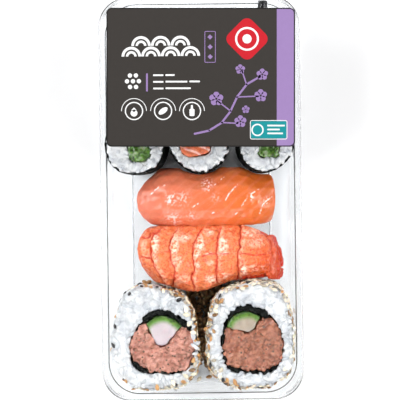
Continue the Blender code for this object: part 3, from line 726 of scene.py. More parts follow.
def clear_plastic(name, tint, ior, line=0.0):
    """Clear moulded plastic that lets the light through to what it holds, most of all at its rim.

    With a line, in millimetres from the middle, the crease of the raised panel shows grey there, as a
    painted line of shade.
    """
    material, tree, shader = new_material(
        name, Base_Color=(*tint, 1.0), Roughness=0.03, IOR=ior, Transmission_Weight=1.0
    )
    relief = use_group(tree, "Fine relief", "Normal", Scale=60.0, Strength=0.05, Depth=0.0004)
    tree.links.new(relief, shader.inputs["Normal"])
    if line:
        # Painted shade: a grey line where the clear plastic's fold shows dark
        split = add_node(tree, "ShaderNodeSeparateXYZ", {0: where(tree)})
        away = calculated(tree, "PINGPONG", split.outputs["X"], line * MM)
        along = calculated(tree, "ABSOLUTE", split.outputs["Y"])
        most = mapped(tree, along, (CREASE_END - 4.0) * MM, CREASE_END * MM, 0.6, 0.0)
        crease = mapped(tree, away, (line - CREASE_WIDTH) * MM, (line - 0.1) * MM, 0.0, most)
        tree.links.new(blended(tree, crease, tint, CREASE_SHADE), shader.inputs["Base Color"])
    path = tree.nodes.new("ShaderNodeLightPath")
    through = add_node(tree, "ShaderNodeBsdfTransparent", {"Color": (0.99, 0.995, 1.0, 1.0)})
    share = calculated(tree, "MAXIMUM", path.outputs["Is Shadow Ray"], painted(tree, "rim"))
    mix = add_node(tree, "ShaderNodeMixShader", {0: share, 1: shader.outputs[0], 2: through.outputs[0]})
    tree.links.new(mix.outputs[0], tree.nodes["Material Output"].inputs["Surface"])
    return material


def drawn_ball(length, width, height):
    """A ball drawn out along X, as an array of points and a list of faces."""
    rest()
    bpy.ops.mesh.primitive_uv_sphere_add(segments=8, ring_count=6, radius=1.0, location=(0, 0, 0))
    ball = bpy.context.object
    edit(ball)
    bpy.ops.transform.rotate(value=math.pi / 2, orient_axis="Y", center_override=(0, 0, 0))
    bpy.ops.transform.resize(value=(length / 2, width / 2, height / 2), center_override=(0, 0, 0))
    rest()
    co = places(ball.data)
    faces = [tuple(face.vertices) for face in ball.data.polygons]
    bpy.data.objects.remove(ball, do_unlink=True)
    return co, faces


def joined_copies(name, template, matrices, tones):
    """One mesh of many copies of a template, with a tone stored on each copy."""
    co, faces = template
    points = np.vstack([co @ np.array(m.to_3x3()).T + np.array(m.translation) for m in matrices])
    count = len(co)
    all_faces = [tuple(v + count * i for v in face) for i in range(len(matrices)) for face in faces]
    mesh = bpy.data.meshes.new(name)
    mesh.from_pydata(points.tolist(), [], all_faces)
    paint(mesh, "tone", np.repeat(tones, count))
    piece = bpy.data.objects.new(name, mesh)
    bpy.context.scene.collection.objects.link(piece)
    return piece


def sampled(surface, wanted, gap, draw, allowed):
    """Places on a mesh, spread by area and kept apart, as pairs of point and normal."""
    mesh = surface.data
    mesh.calc_loop_triangles()
    corners = places(mesh)[np.array([t.vertices for t in mesh.loop_triangles])]
    cross = np.cross(corners[:, 1] - corners[:, 0], corners[:, 2] - corners[:, 0])
    area = np.linalg.norm(cross, axis=1) / 2
    total = np.cumsum(area)
    cells = {}
    found = []
    for _ in range(wanted * 14):
        if len(found) >= wanted:
            break
        index = min(int(np.searchsorted(total, draw.random() * total[-1])), len(area) - 1)
        a, b = draw.random(), draw.random()
        if a + b > 1:
            a, b = 1 - a, 1 - b
        tri = corners[index]
        point = Vector(tri[0] + (tri[1] - tri[0]) * a + (tri[2] - tri[0]) * b)
        normal = Vector(cross[index]).normalized()
        key = tuple(int(math.floor(c / gap)) for c in point)
        near = [
            other
            for dx in (-1, 0, 1) for dy in (-1, 0, 1) for dz in (-1, 0, 1)
            for other in cells.get((key[0] + dx, key[1] + dy, key[2] + dz), ())
        ]
        if any((point - other).length < gap for other in near) or not allowed(point, normal):
            continue
        cells.setdefault(key, []).append(point)
        found.append((point, normal))
    return found


def lay(point, normal, spin, stretch, lift, tilt=0.0):
    """The matrix that lays a template flat on a surface."""
    turn = normal.to_track_quat("Z", "Y").to_matrix().to_4x4()
    return (
        Matrix.Translation(point + normal * lift * MM) @ turn @ Matrix.Rotation(spin, 4, "Z")
        @ Matrix.Rotation(tilt, 4, "Y") @ Matrix.Diagonal((*stretch, 1.0))
    )


def rice_materials():
    """The rice between the grains, and the grains."""
    rice = bpy.context.scene.sushi_rice
    # Painted shade: the core, seen in the gaps between the grains, is a tenth darker than the grains'
    # lightest colour
    for name, light in (("Rice core", toned(rice.light, 0.9)), ("Rice grains", rice.light)):
        _, tree, shader = new_material(
            name, Roughness=0.4, Subsurface_Weight=0.6, Subsurface_Scale=0.0025,
            Subsurface_Radius=(1.0, 0.95, 0.9), IOR=1.4, Coat_Weight=0.1, Coat_Roughness=0.3,
        )
        shown = mottled(tree, light, rice.dark, 260.0)
        if name == "Rice grains":
            tone = ramp(tree, painted(tree, "tone"), GRAIN_TONES)
            shown = blended(tree, 1.0, shown, tone, "MULTIPLY")
        else:
            # Painted shade: dark brown low on the sides where the wide rolls face each other
            shown = blended(tree, painted(tree, "deep"), shown, rice.deep)
        dress(tree, shader, shown, 900.0, 0.25)


def add_grains(name, core, node, wanted, seed, allowed, top=None, light=None):
    """Finishes a core of rice and strews grains over it; a cut top is levelled as by the knife."""
    rice = bpy.context.scene.sushi_rice
    finish_piece(core, bpy.data.materials["Rice core"], (node,))
    draw = random.Random(seed)
    template = drawn_ball(rice.length, rice.width, rice.width * 0.9)
    template[0][:, 2] -= 0.25 * rice.width * (2 * template[0][:, 0] / rice.length) ** 2
    matrices = []
    tones = []
    for point, normal in sampled(core, wanted, rice.spacing, draw, allowed):
        grow = draw.uniform(0.85, 1.1)
        stretch = (grow * draw.uniform(0.85, 1.1), grow * draw.uniform(0.9, 1.1), grow)
        lift = draw.uniform(-0.45, 0.05)
        tilt = draw.uniform(-0.3, 0.3)
        if top is not None and normal.z > 0.75:
            lift = draw.uniform(-0.6, -0.3)
            tilt = draw.uniform(-0.15, 0.15)
        matrices.append(lay(point, normal, draw.uniform(0, math.pi), stretch, lift, tilt))
        # The tone differs at random, and where light is given it lowers the tone as painted shade
        tones.append(draw.uniform(0.5, 1.0) * (light(point) if light else 1.0))
    piece = joined_copies(name, template, matrices, np.array(tones))
    co = places(piece.data)
    if top is not None:
        over = co[:, 2] > top * MM
        co[over, 2] = top * MM + (co[over, 2] - top * MM) * CUT_LEVEL
    co[:, 2] = np.maximum(co[:, 2], (FOOD_FOOT - 0.2) * MM)
    set_places(piece.data, co)
    finish_piece(piece, bpy.data.materials["Rice grains"])


class SUSHI_OT_tray(bpy.types.Operator):
    """Moulds the tray: a raised panel, a gutter, steep walls and a rolled rim."""

    bl_idname = "sushi.tray"
    bl_label = "Tray"

    def execute(self, context):
        mould("tray", TRAY_RINGS, context.scene.sushi_pack.tray_wall, TRAY_IOR, TRAY_RINGS[0][0])
        return {"FINISHED"}


class SUSHI_OT_lid(bpy.types.Operator):
    """Moulds the clear lid, which clips on the tray's rim."""

    bl_idname = "sushi.lid"
    bl_label = "Lid"

    def execute(self, context):
        mould("lid", LID_RINGS, context.scene.sushi_pack.lid_wall, LID_IOR)
        return {"FINISHED"}


class SUSHI_OT_label(bpy.types.Operator):
    """Cuts the printed card that lies on the lid."""

    bl_idname = "sushi.label"
    bl_label = "Printed card"

    def execute(self, context):
        pack = context.scene.sushi_pack
        card = empty_piece("label_card")
        bpy.ops.object.mode_set(mode="EDIT")
        width, length = (half * 2 for half in LABEL_HALF)
        add_plate(*LABEL_MIDDLE, LABEL_UNDER, width, length, LABEL_CORNER, 8, LABEL_TURN)
        bpy.ops.mesh.select_all(action="SELECT")
        rise = (LABEL_TOP - LABEL_UNDER) * MM
        bpy.ops.mesh.extrude_region_move(TRANSFORM_OT_translate={"value": (0, 0, rise)})
        face_outwards()
        rest()
        material, tree, shader = new_material("Printed card", Roughness=0.5)
        square = add_node(tree, "ShaderNodeMapping", {
            "Vector": where(tree), "Location": (LABEL_MIDDLE[0] * MM, LABEL_MIDDLE[1] * MM, 0.0),
            "Rotation": (0, 0, math.radians(LABEL_TURN))}, vector_type="TEXTURE")
        split = add_node(tree, "ShaderNodeSeparateXYZ", {0: square.outputs[0]})
        strip = calculated(tree, "GREATER_THAN", split.outputs["X"], STRIP_EDGE * MM)
        ground = mottled(tree, pack.card, toned(pack.card, 0.94), 500.0)
        side = mottled(tree, pack.strip, toned(pack.strip, 0.97), 500.0)
        dress(tree, shader, blended(tree, strip, ground, side), 1500.0, 0.1)
        finish_piece(card, material, ("label",), 40)
        return {"FINISHED"}


class SUSHI_OT_ampoule(bpy.types.Operator):
    """Turns the soy-sauce ampoule and its nozzle, which lie under the card."""

    bl_idname = "sushi.ampoule"
    bl_label = "Sauce ampoule"

    def execute(self, context):
        pack = context.scene.sushi_pack
        base = Vector(AMPOULE_BASE) * MM
        axis = Vector(AMPOULE_TIP) * MM - base
        turn = axis.to_track_quat("Z", "Y").to_matrix().to_4x4()
        for name, stations, tint, slot, node in (
            ("ampoule_body", AMPOULE_STATIONS, pack.sauce, "soy_sauce", "soy_ampoule"),
            ("ampoule_nozzle", NOZZLE_STATIONS, pack.nozzle, "black_plastic", "soy_nozzle"),
        ):
            body = turned(name, stations, 40)
            body.data.transform(Matrix.Translation(base) @ turn)
            material, tree, shader = new_material(
                f"{slot} look", Roughness=0.3, Coat_Weight=0.2, Coat_Roughness=0.12
            )
            dress(tree, shader, mottled(tree, toned(tint, 1.6), tint, 120.0), 300.0, 0.15)
            finish_piece(body, material, (node,), 35)
        return {"FINISHED"}


def print_material(name, tint):
    """Flat ink on card, with a faint paper grain."""
    material, tree, shader = new_material(name, Roughness=0.45)
    dress(tree, shader, mottled(tree, tint, toned(tint, 0.93), 600.0), 1500.0, 0.1)
    return material


class Print:
    """Flat shapes of one ink on the card, drawn in edit mode and then raised by the ink's height."""

    def __init__(self, name, layer):
        self.top = LABEL_TOP - INK_SUNK
        self.layer = layer
        self.piece = empty_piece(name)
        bpy.ops.object.mode_set(mode="EDIT")
        bpy.ops.mesh.select_mode(type="VERT")

    def _at(self, x, y):
        bpy.ops.mesh.select_all(action="DESELECT")
        return (x * MM, y * MM, self.top * MM)

    def disc(self, x, y, radius, sides=40, stretch=1.0, turn=0.0):
        middle = self._at(x, y)
        bpy.ops.mesh.primitive_circle_add(
            vertices=sides, radius=radius * MM, fill_type="NGON", location=middle
        )
        bpy.ops.transform.resize(value=(1.0, stretch, 1.0), center_override=middle)
        if turn:
            bpy.ops.transform.rotate(value=-math.radians(turn), orient_axis="Z", center_override=middle)

    def ring(self, x, y, outer, inner, upper_half=False):
        middle = self._at(x, y)
        bpy.ops.mesh.primitive_circle_add(
            vertices=48, radius=outer * MM, fill_type="NOTHING", location=middle
        )
        bpy.ops.mesh.extrude_edges_move()
        bpy.ops.transform.resize(value=(inner / outer, inner / outer, 1.0), center_override=middle)
        bpy.ops.mesh.select_linked()
        if upper_half:
            bpy.ops.mesh.bisect(plane_co=middle, plane_no=(0, 1, 0), clear_inner=True)

    def bar(self, x, y, width, height, corner=0.0, turn=0.0):
        add_plate(x, y, self.top, width, height, corner, 6, turn + LABEL_TURN)

    def frame(self, x, y, width, height, line, corner=0.0):
        self.bar(x, y, width, height, corner)
        bpy.ops.mesh.inset(thickness=line * MM)
        bpy.ops.mesh.delete(type="FACE")

    def finish(self, material):
        face_outwards()
        bpy.ops.mesh.select_all(action="SELECT")
        rise = INK_SUNK * MM + self.layer * bpy.context.scene.sushi_pack.ink
        bpy.ops.mesh.extrude_region_move(TRANSFORM_OT_translate={"value": (0, 0, rise)})
        face_outwards()
        finish_piece(self.piece, material, (), 30)


class SUSHI_OT_label_print(bpy.types.Operator):
    """Prints the card: waves, a roll, pips, bars, three round signs and a blossom sprig."""

    bl_idname = "sushi.label_print"
    bl_label = "Print on the card"

    def execute(self, context):
        pack = context.scene.sushi_pack
        x, y = LABEL_MIDDLE
        edge = Print("print_border", 1)
        edge.frame(x, y, LABEL_HALF[0] * 2 - 0.1, LABEL_HALF[1] * 2 - 0.1, 0.5, LABEL_CORNER)
        edge.finish(print_material("Dark ink", tuple(c * 0.25 for c in pack.card)))

        lilac = Print("print_lilac", 1)
        lilac.bar(-23.0, 50.9, 0.8, 7.8)
        lilac.frame(4.75, 66.1, 4.9, 13.8, 0.3, 0.6)
        for place in (70.4, 66.1, 61.8):
            lilac.bar(4.75, place, 1.6, 1.6, turn=45)
        self.sprig(lilac)
        lilac.finish(print_material("Lilac ink", tuple(pack.strip)))

        white = Print("print_white", 1)
        for row, count, start in ((62.3, 4, -29.7), (66.9, 3, -25.4)):
            for step in range(count):
                across = start + 8.6 * step
                white.ring(across, row, 4.25, 3.05, True)
                white.ring(across, row, 2.35, 1.3, True)
        for row, count in ((54.0, 2), (51.5, 3), (49.0, 2)):
            for step in range(count):
                white.disc(-29.1 + 2.6 * (step - (count - 1) / 2), row, 0.95, 20)
        for row, lengths in ((54.0, (4.5, 4.0)), (51.1, (4.5, 9.5, 4.6)), (48.2, (4.5, 11.0))):
            start = -20.3
            for length in lengths:
                white.bar(start + length / 2, row, length, 0.75, 0.2)
                start += length + 0.9
        for across, row in ((-28.8, 38.5), (-16.1, 38.4), (-3.5, 38.2)):
            white.ring(across, row, 4.0, 3.5)
            white.ring(across, row, 5.6, 5.3, True)
        white.disc(-28.8, 37.6, 1.5)
        white.bar(-28.8, 39.0, 1.5, 1.5, turn=45)
        white.disc(-16.1, 38.4, 2.3, stretch=0.5, turn=35)
        white.bar(-3.5, 37.6, 2.2, 3.2, 0.6)
        white.bar(-3.5, 40.0, 0.9, 1.6)
        white.frame(29.9, 29.6, 16.3, 8.4, 0.3, 0.9)
        white.finish(print_material("White ink", tuple(pack.white)))

        teal = Print("print_teal", 2)
        teal.bar(29.9, 29.6, 15.4, 7.5, 0.6)
        teal.finish(print_material("Teal ink", tuple(pack.teal)))
        red = Print("print_red", 1)
        red.bar(20.9, 69.4, 14.6, 14.6, 3.2, turn=45)
        red.finish(print_material("Red ink", tuple(pack.red)))

        over = Print("print_over", 3)
        over.ring(20.9, 69.4, 5.2, 4.3)
        over.disc(20.9, 69.4, 2.0)
        over.ring(25.0, 29.6, 2.7, 2.1)
        for row, length in ((31.4, 7.6), (29.7, 5.4), (28.0, 6.8)):
            over.bar(29.3 + length / 2, row, length, 0.7, 0.2)
        over.finish(bpy.data.materials["White ink"])
        return {"FINISHED"}

    def sprig(self, ink):
        """A curved branch with five-petalled blossoms and buds."""
        branch = ((-2.5, 28.2), (4.0, 29.6), (9.5, 33.0), (13.4, 38.0), (16.2, 44.0), (20.5, 49.5),
                  (26.5, 53.0))
        twigs = (((9.5, 33.0), (16.5, 32.6)), ((13.4, 38.0), (7.6, 42.5)), ((16.2, 44.0), (25.5, 44.4)),
                 ((20.5, 49.5), (18.4, 55.8)))
        for line, width in ((branch, 0.9), *((twig, 0.6) for twig in twigs)):
            for (x0, y0), (x1, y1) in zip(line, line[1:]):
                run = math.hypot(x1 - x0, y1 - y0)
                ink.bar((x0 + x1) / 2, (y0 + y1) / 2, run + width * 0.7, width, width * 0.45,
                        math.degrees(math.atan2(y1 - y0, x1 - x0)))
        for x, y, reach in ((17.6, 33.4, 2.5), (7.2, 43.4, 2.9), (26.6, 44.6, 2.6), (17.8, 56.2, 2.0),
                            (27.4, 53.8, 2.4), (20.0, 38.6, 1.6)):
            for petal in range(5):
                angle = math.radians(90 + 72 * petal)
                across, along = x + reach * 0.62 * math.cos(angle), y + reach * 0.62 * math.sin(angle)
                ink.disc(across, along, reach * 0.46, 20)


def nori_material():
    tint = bpy.context.scene.sushi_filling.nori
    material, tree, shader = new_material("Nori", Roughness=0.6, Specular_IOR_Level=0.08)
    dress(tree, shader, mottled(tree, toned(tint, 1.7), toned(tint, 0.5), 700.0), 1400.0, 0.7)
    return material


def cucumber_material():
    filling = bpy.context.scene.sushi_filling
    material, tree, shader = new_material(
        "Cucumber", Roughness=0.3, Subsurface_Weight=0.25, Subsurface_Scale=0.002, Coat_Weight=0.3,
        Coat_Roughness=0.15,
    )
    flesh = mottled(tree, filling.flesh, toned(filling.flesh, 0.88), 260.0)
    old = blended(tree, painted(tree, "warm"), flesh, screen(150, 138, 124))
    skin = mottled(tree, filling.skin, toned(filling.skin, 0.4), 420.0)
    depth = painted(tree, "skin")
    near = blended(tree, ramp(tree, depth, ((0.02, 0.0), (0.5, 1.0))), old, filling.green)
    outer = blended(tree, ramp(tree, depth, ((0.45, 0.0), (0.85, 1.0))), near, skin)
    dotted = calculated(tree, "MULTIPLY", specks(tree, 520.0, 0.32), depth)
    dress(tree, shader, blended(tree, dotted, outer, (0.012, 0.02, 0.006)), 700.0, 0.3)
    return material


def salmon_material():
    filling = bpy.context.scene.sushi_filling
    material, tree, shader = new_material(
        "Salmon", Roughness=0.34, Subsurface_Weight=0.3, Subsurface_Scale=0.003, Coat_Weight=0.35,
        Coat_Roughness=0.15, IOR=1.36,
    )
    split = add_node(tree, "ShaderNodeSeparateXYZ", {0: where(tree)})
    along = mapped(tree, split.outputs["X"], -0.028, 0.022)
    ground = blended(tree, along, filling.salmon_pink, filling.salmon)
    slanted = add_node(tree, "ShaderNodeMapping", {"Vector": where(tree), "Rotation": (0, 0, 0.87)})
    bands = add_node(tree, "ShaderNodeTexWave", {
        "Vector": slanted.outputs[0], "Scale": 75.0, "Distortion": 2.2, "Detail": 2.0,
        "Detail Scale": 1.2})
    line = ramp(tree, bands.outputs["Fac"], ((0.68, 0.0), (0.97, 0.22)))
    pale = tuple(min(1.0, c * 1.2 + 0.02) for c in filling.salmon_pink)
    striped = blended(tree, line, ground, pale)
    # Fat marks and patches, partly real fat and partly painted highlight
    dress(tree, shader, blended(tree, painted(tree, "fat_and_highlight"), striped, filling.fat_and_highlight), 420.0, 0.35, 0.0003)
    return material


def shrimp_material():
    filling = bpy.context.scene.sushi_filling
    material, tree, shader = new_material(
        "Shrimp", Roughness=0.3, Subsurface_Weight=0.25, Subsurface_Scale=0.0025, Coat_Weight=0.4,
        Coat_Roughness=0.15, IOR=1.38,
    )
    flesh = blended(tree, painted(tree, "deep"), filling.shrimp, filling.shrimp_deep)
    # Pale patches and the painted highlight beside each seam
    ground = blended(tree, painted(tree, "pale"), flesh, filling.shrimp_pale)
    red = blended(tree, painted(tree, "red"), ground, filling.shrimp_tail)
    strength = calculated(tree, "MULTIPLY", specks(tree, 900.0, 0.34), 0.55)
    dress(tree, shader, blended(tree, strength, red, filling.shrimp_tail), 600.0, 0.4, 0.0003)
    coat = mapped(tree, painted(tree, "tail"), 0.0, 1.0, 0.3, 0.0)
    tree.links.new(coat, shader.inputs["Coat Weight"])
    return material


def mix_material():
    """Flaked fish in sauce: pale flakes, painted shade in the creases between them, and small dark
    specks.
    """
    tint = bpy.context.scene.sushi_filling.mix
    material, tree, shader = new_material(
        "Fish mix", Roughness=0.45, Subsurface_Weight=0.2, Subsurface_Scale=0.0015, Coat_Weight=0.25,
        Coat_Roughness=0.25,
    )
    ground = mottled(tree, toned(tint, 1.55), toned(tint, (0.64, 0.44, 0.36)), 360.0)
    browner = blended(tree, painted(tree, "warm"), ground, (0.7, 0.57, 0.43), "MULTIPLY")
    # Painted shade in the creases between the flakes
    creased = blended(tree, painted(tree, "crease"), browner, (0.14, 0.05, 0.025))
    speckled = blended(tree, specks(tree, 380.0, 0.23), creased, (0.05, 0.03, 0.015))
    shown = blended(tree, specks(tree, 300.0, 0.14), speckled, (0.42, 0.06, 0.03))
    dress(tree, shader, shown, 900.0, 0.6, 0.0003)
    return material


class SUSHI_OT_thin_rolls(bpy.types.Operator):
    """Dresses the three thin rolls: nori, grains of rice and a bar of filling."""

    bl_idname = "sushi.thin_rolls"
    bl_label = "Thin rolls"

    def execute(self, context):
        rice_materials()
        nori_look = nori_material()
        looks = {"middle": salmon_material()}
        looks["left"] = looks["right"] = cucumber_material()
        for name, middle, hidden_at, seed in THIN_ROLLS:
            nori = fine_copy(f"hosomaki_{name}_nori", f"thin_{name}_nori", 0.35, 2)
            co = places(nori.data)
            co = push(nori, 0.12 * lumps(co, 1.6, seed) + 0.1 * lumps(co, 5.0, seed + 4))
            _, angle, height = around(nori, middle)
            hidden = unit((HIDDEN_REACH - np.abs(angle - hidden_at)) / HIDDEN_FADE)
            near_cut = unit(height - THIN_ROLL_TOP + 2.0)
            co[:, 2] -= (NORI_DROP + NORI_HIDDEN * hidden) * MM * near_cut
            set_places(nori.data, co)
            finish_piece(nori, nori_look, (f"hosomaki_{name}_nori",))

            filling = fine_copy(f"hosomaki_{name}_filling", f"thin_{name}_filling", 0.4, 3)
            co = places(filling.data)
            co = push(filling, 0.35 * lumps(co, 3.0, seed) + 0.2 * lumps(co, 1.1, seed))
            if name == "middle":
                slanted = np.sin((co[:, 0] * 0.5 + co[:, 1]) / (0.7 * MM) + lumps(co, 4.0, 2))
                paint(filling.data, "fat_and_highlight", np.clip((slanted - 0.6) * 1.5, 0.0, 0.5))
            else:
                patches = 0.66 + 0.4 * lumps(co, 2.6, seed + 9) + 0.25 * lumps(co, 0.9, seed)
                paint(filling.data, "skin", np.clip(patches, 0.3, 0.95))
                paint(filling.data, "warm", np.zeros(len(co)))
            finish_piece(filling, looks[name], (f"hosomaki_{name}_filling",))

            rice_node = f"hosomaki_{name}_rice"
            core = fine_copy(rice_node, f"thin_{name}_rice", 0.7, 3, 0.1)
            guards = ((surface_of(nori), 0.0001), (surface_of(filling), 0.0009))

            def on_cut(point, normal):
                """Keeps places on the cut face that are clear of the nori and the filling."""
                clear = all(guard.find_nearest(point, near)[0] is None for guard, near in guards)
                return clear and normal.z > 0.35

            add_grains(f"thin_{name}_grains", core, rice_node, THIN_GRAINS, seed, on_cut, THIN_ROLL_TOP)
        return {"FINISHED"}


def line_distance(co, start, end):
    """Distance in plan, in millimetres, from each point to a line."""
    a = np.array(start) * MM
    run = np.array(end) * MM - a
    offset = co[:, :2] - a
    along = unit(offset @ run / (run @ run))
    return np.linalg.norm(offset - along[:, None] * run, axis=1) / MM


class SUSHI_OT_salmon_nigiri(bpy.types.Operator):
    """Dresses the salmon nigiri: the slice with its fat marks, which are partly painted highlight, and
    the pressed rice under it.
    """

    bl_idname = "sushi.salmon_nigiri"
    bl_label = "Salmon nigiri"

    def execute(self, context):
        salmon = fine_copy("salmon", "salmon_slice", 0.3, 24)
        co = places(salmon.data)
        x, y = co[:, 0] / MM, co[:, 1] / MM
        ridges = np.sin((x * 0.66 - y * 0.75) / 0.72 + 1.2 * lumps(co, 9.0, 1))
        broken = lumps(co, 0.9, 7)
        # Fat marks and patches, partly real fat and partly painted highlight
        fat_and_highlight = np.zeros(len(co))
        for start, end in FAT_AND_HIGHLIGHT_MARKS:
            gap = line_distance(co, start, end)
            fat_and_highlight = np.maximum(fat_and_highlight, np.exp(-((gap / 0.24) ** 2)) * np.clip(0.55 + 1.6 * broken, 0.0, 0.9))
        for middle_x, middle_y, reach, share in FAT_AND_HIGHLIGHT_PATCHES:
            gap = np.hypot(x - middle_x, y - middle_y)
            fat_and_highlight = np.maximum(fat_and_highlight, share * np.exp(-((gap / reach) ** 2)) * unit(2.5 * broken))
        toward_shrimp = 0.6 * unit(-directions(salmon.data)[:, 1])
        push(salmon, 0.25 + toward_shrimp + 0.04 * ridges + 0.15 * fat_and_highlight + 0.1 * lumps(co, 2.2, 3))
        paint(salmon.data, "fat_and_highlight", fat_and_highlight)
        look = bpy.data.materials["Salmon"]
        finish_piece(salmon, look, ("salmon",))
        add_nigiri_rice("salmon", salmon, 31)
        return {"FINISHED"}


def add_nigiri_rice(name, cover, seed):
    """The pressed rice under a slice, with grains wherever the slice leaves it bare."""
    node = f"{name}_rice"
    core = fine_copy(node, f"{name}_rice_core", 0.7, 3, 0.3)
    guard = surface_of(cover)

    def bare(point, _):
        """Keeps places that the slice leaves bare."""
        return guard.find_nearest(point, 0.0016)[0] is None

    add_grains(f"{name}_rice_grains", core, node, SLICE_GRAINS, seed, bare)


class SUSHI_OT_shrimp_nigiri(bpy.types.Operator):
    """Dresses the shrimp nigiri: lapped segments, the cut along the back, and the tail."""

    bl_idname = "sushi.shrimp_nigiri"
    bl_label = "Shrimp nigiri"

    def execute(self, context):
        shrimp = fine_copy("shrimp", "shrimp_slice", 0.36, 6)
        self.fan_out(shrimp)
        co = places(shrimp.data)
        x, y = co[:, 0] / MM, co[:, 1] / MM
        x, y = x + 0.35 * lumps(co, 2.0, 5), y + 0.35 * lumps(co, 2.0, 8)
        shifted = np.column_stack((x, y)) * MM
        upper = unit(directions(shrimp.data)[:, 2] * 2.0)
        seam = self.near_lines(shifted, SHRIMP_SEAMS, 0.38)
        cut = self.near_lines(shifted, SHRIMP_CUTS, 0.3)
        # Painted highlight: a pale band on the lit side of each seam; the pale patches are partly the
        # shrimp's own pale flesh and partly painted highlight
        lit_side = self.near_lines(shifted - np.array((1.1, 0.0)) * MM, SHRIMP_SEAMS, 1.0)
        pale = 0.3 * lit_side
        for middle_x, middle_y, reach_x, reach_y, share in SHRIMP_PATCHES:
            gap = np.hypot((x - middle_x) / reach_x, (y - middle_y) / reach_y)
            pale = np.maximum(pale, share * unit(1.6 - 1.3 * gap))
        flecks = lumps(co, 0.8, 3)
        pale = pale * np.clip(0.8 + 0.7 * lumps(co, 1.4, 9) + 0.4 * flecks, 0.0, 1.1)
        relief = 0.4 * lit_side + 0.3 * pale - 0.8 * seam - 0.5 * cut + 0.3 * lumps(co, 1.6, 2)
        toward_salmon = 0.6 * unit(directions(shrimp.data)[:, 1])
        push(shrimp, upper * (relief + 0.12 * flecks) + 0.1 + toward_salmon)
        edge = np.interp(y, *zip(*TAIL_EDGE))
        # The tail starts at a curve, and is reddest at its edge
        tail = unit((x - TAIL_ROOT + TAIL_BOW * (y - TAIL_MIDDLE) ** 2) / 2.2)
        tail_red = tail * np.clip(1.0 - (edge - x) / 6.0 + 0.3 * lumps(co, 1.5, 4), 0.25, 1.0)
        # Red runs along the rim, most of all on the side away from the salmon, and in flecks
        near_rim = unit((x - RED_RIM[0]) / 5.0) * unit((RED_RIM[1] - y) / 0.8)
        rim = np.maximum(np.clip(1.0 - upper * 1.4, 0.0, 0.45), 0.9 * near_rim)
        fleck_red = np.clip(-2.2 * flecks - 0.7, 0.0, 0.5) * (1.0 - 0.7 * pale)
        reds = np.maximum(np.maximum(seam, cut), np.maximum(rim, fleck_red))
        paint(shrimp.data, "pale", unit(pale * (1.0 - seam)))
        paint(shrimp.data, "red", unit(np.maximum(reds * (1.0 - 0.5 * tail), tail_red)))
        paint(shrimp.data, "tail", tail)
        # The flesh gets deeper in colour towards the tail
        deep = unit((x - DEEP_FLESH[0]) / 9.0) * np.clip((DEEP_FLESH[1] - y) / 5.0, 0.15, 1.0)
        paint(shrimp.data, "deep", np.maximum(deep, tail))
        finish_piece(shrimp, shrimp_material(), ("shrimp",))
        add_nigiri_rice("shrimp", shrimp, 47)
        return {"FINISHED"}

    @staticmethod
    def fan_out(shrimp):
        """Fills the notches between the tail's lobes, so that it ends in one curved edge."""
        co = places(shrimp.data)
        tail = co[:, 0] > TAIL_START * MM
        bands = np.round(co[:, 1] / (0.8 * MM)).astype(int)
        edge = np.interp(co[:, 1] / MM, *zip(*TAIL_EDGE))
        for band in np.unique(bands[tail]):
            own = tail & (bands == band)
            reach = max(co[own, 0].max() / MM, TAIL_START + 1.0)
            stretch = np.clip((edge[own] - TAIL_START) / (reach - TAIL_START), 0.8, 2.2)
            co[own, 0] = (TAIL_START + (co[own, 0] / MM - TAIL_START) * stretch) * MM
        set_places(shrimp.data, co)
        work_on(shrimp)
        shrimp.vertex_groups.new(name="fan").add(np.flatnonzero(tail).tolist(), 1.0, "REPLACE")
        apply_modifier(shrimp, "Fan", "SMOOTH", factor=0.5, iterations=8, vertex_group="fan")

    @staticmethod
    def near_lines(co, lines, width):
        """1 on the lines and less beside them, over the given width in millimetres."""
        most = np.zeros(len(co))
        for line in lines:
            for start, end in zip(line, line[1:]):
                gap = line_distance(co, start, end)
                most = np.maximum(most, np.exp(-((gap / width) ** 2)))
        return most


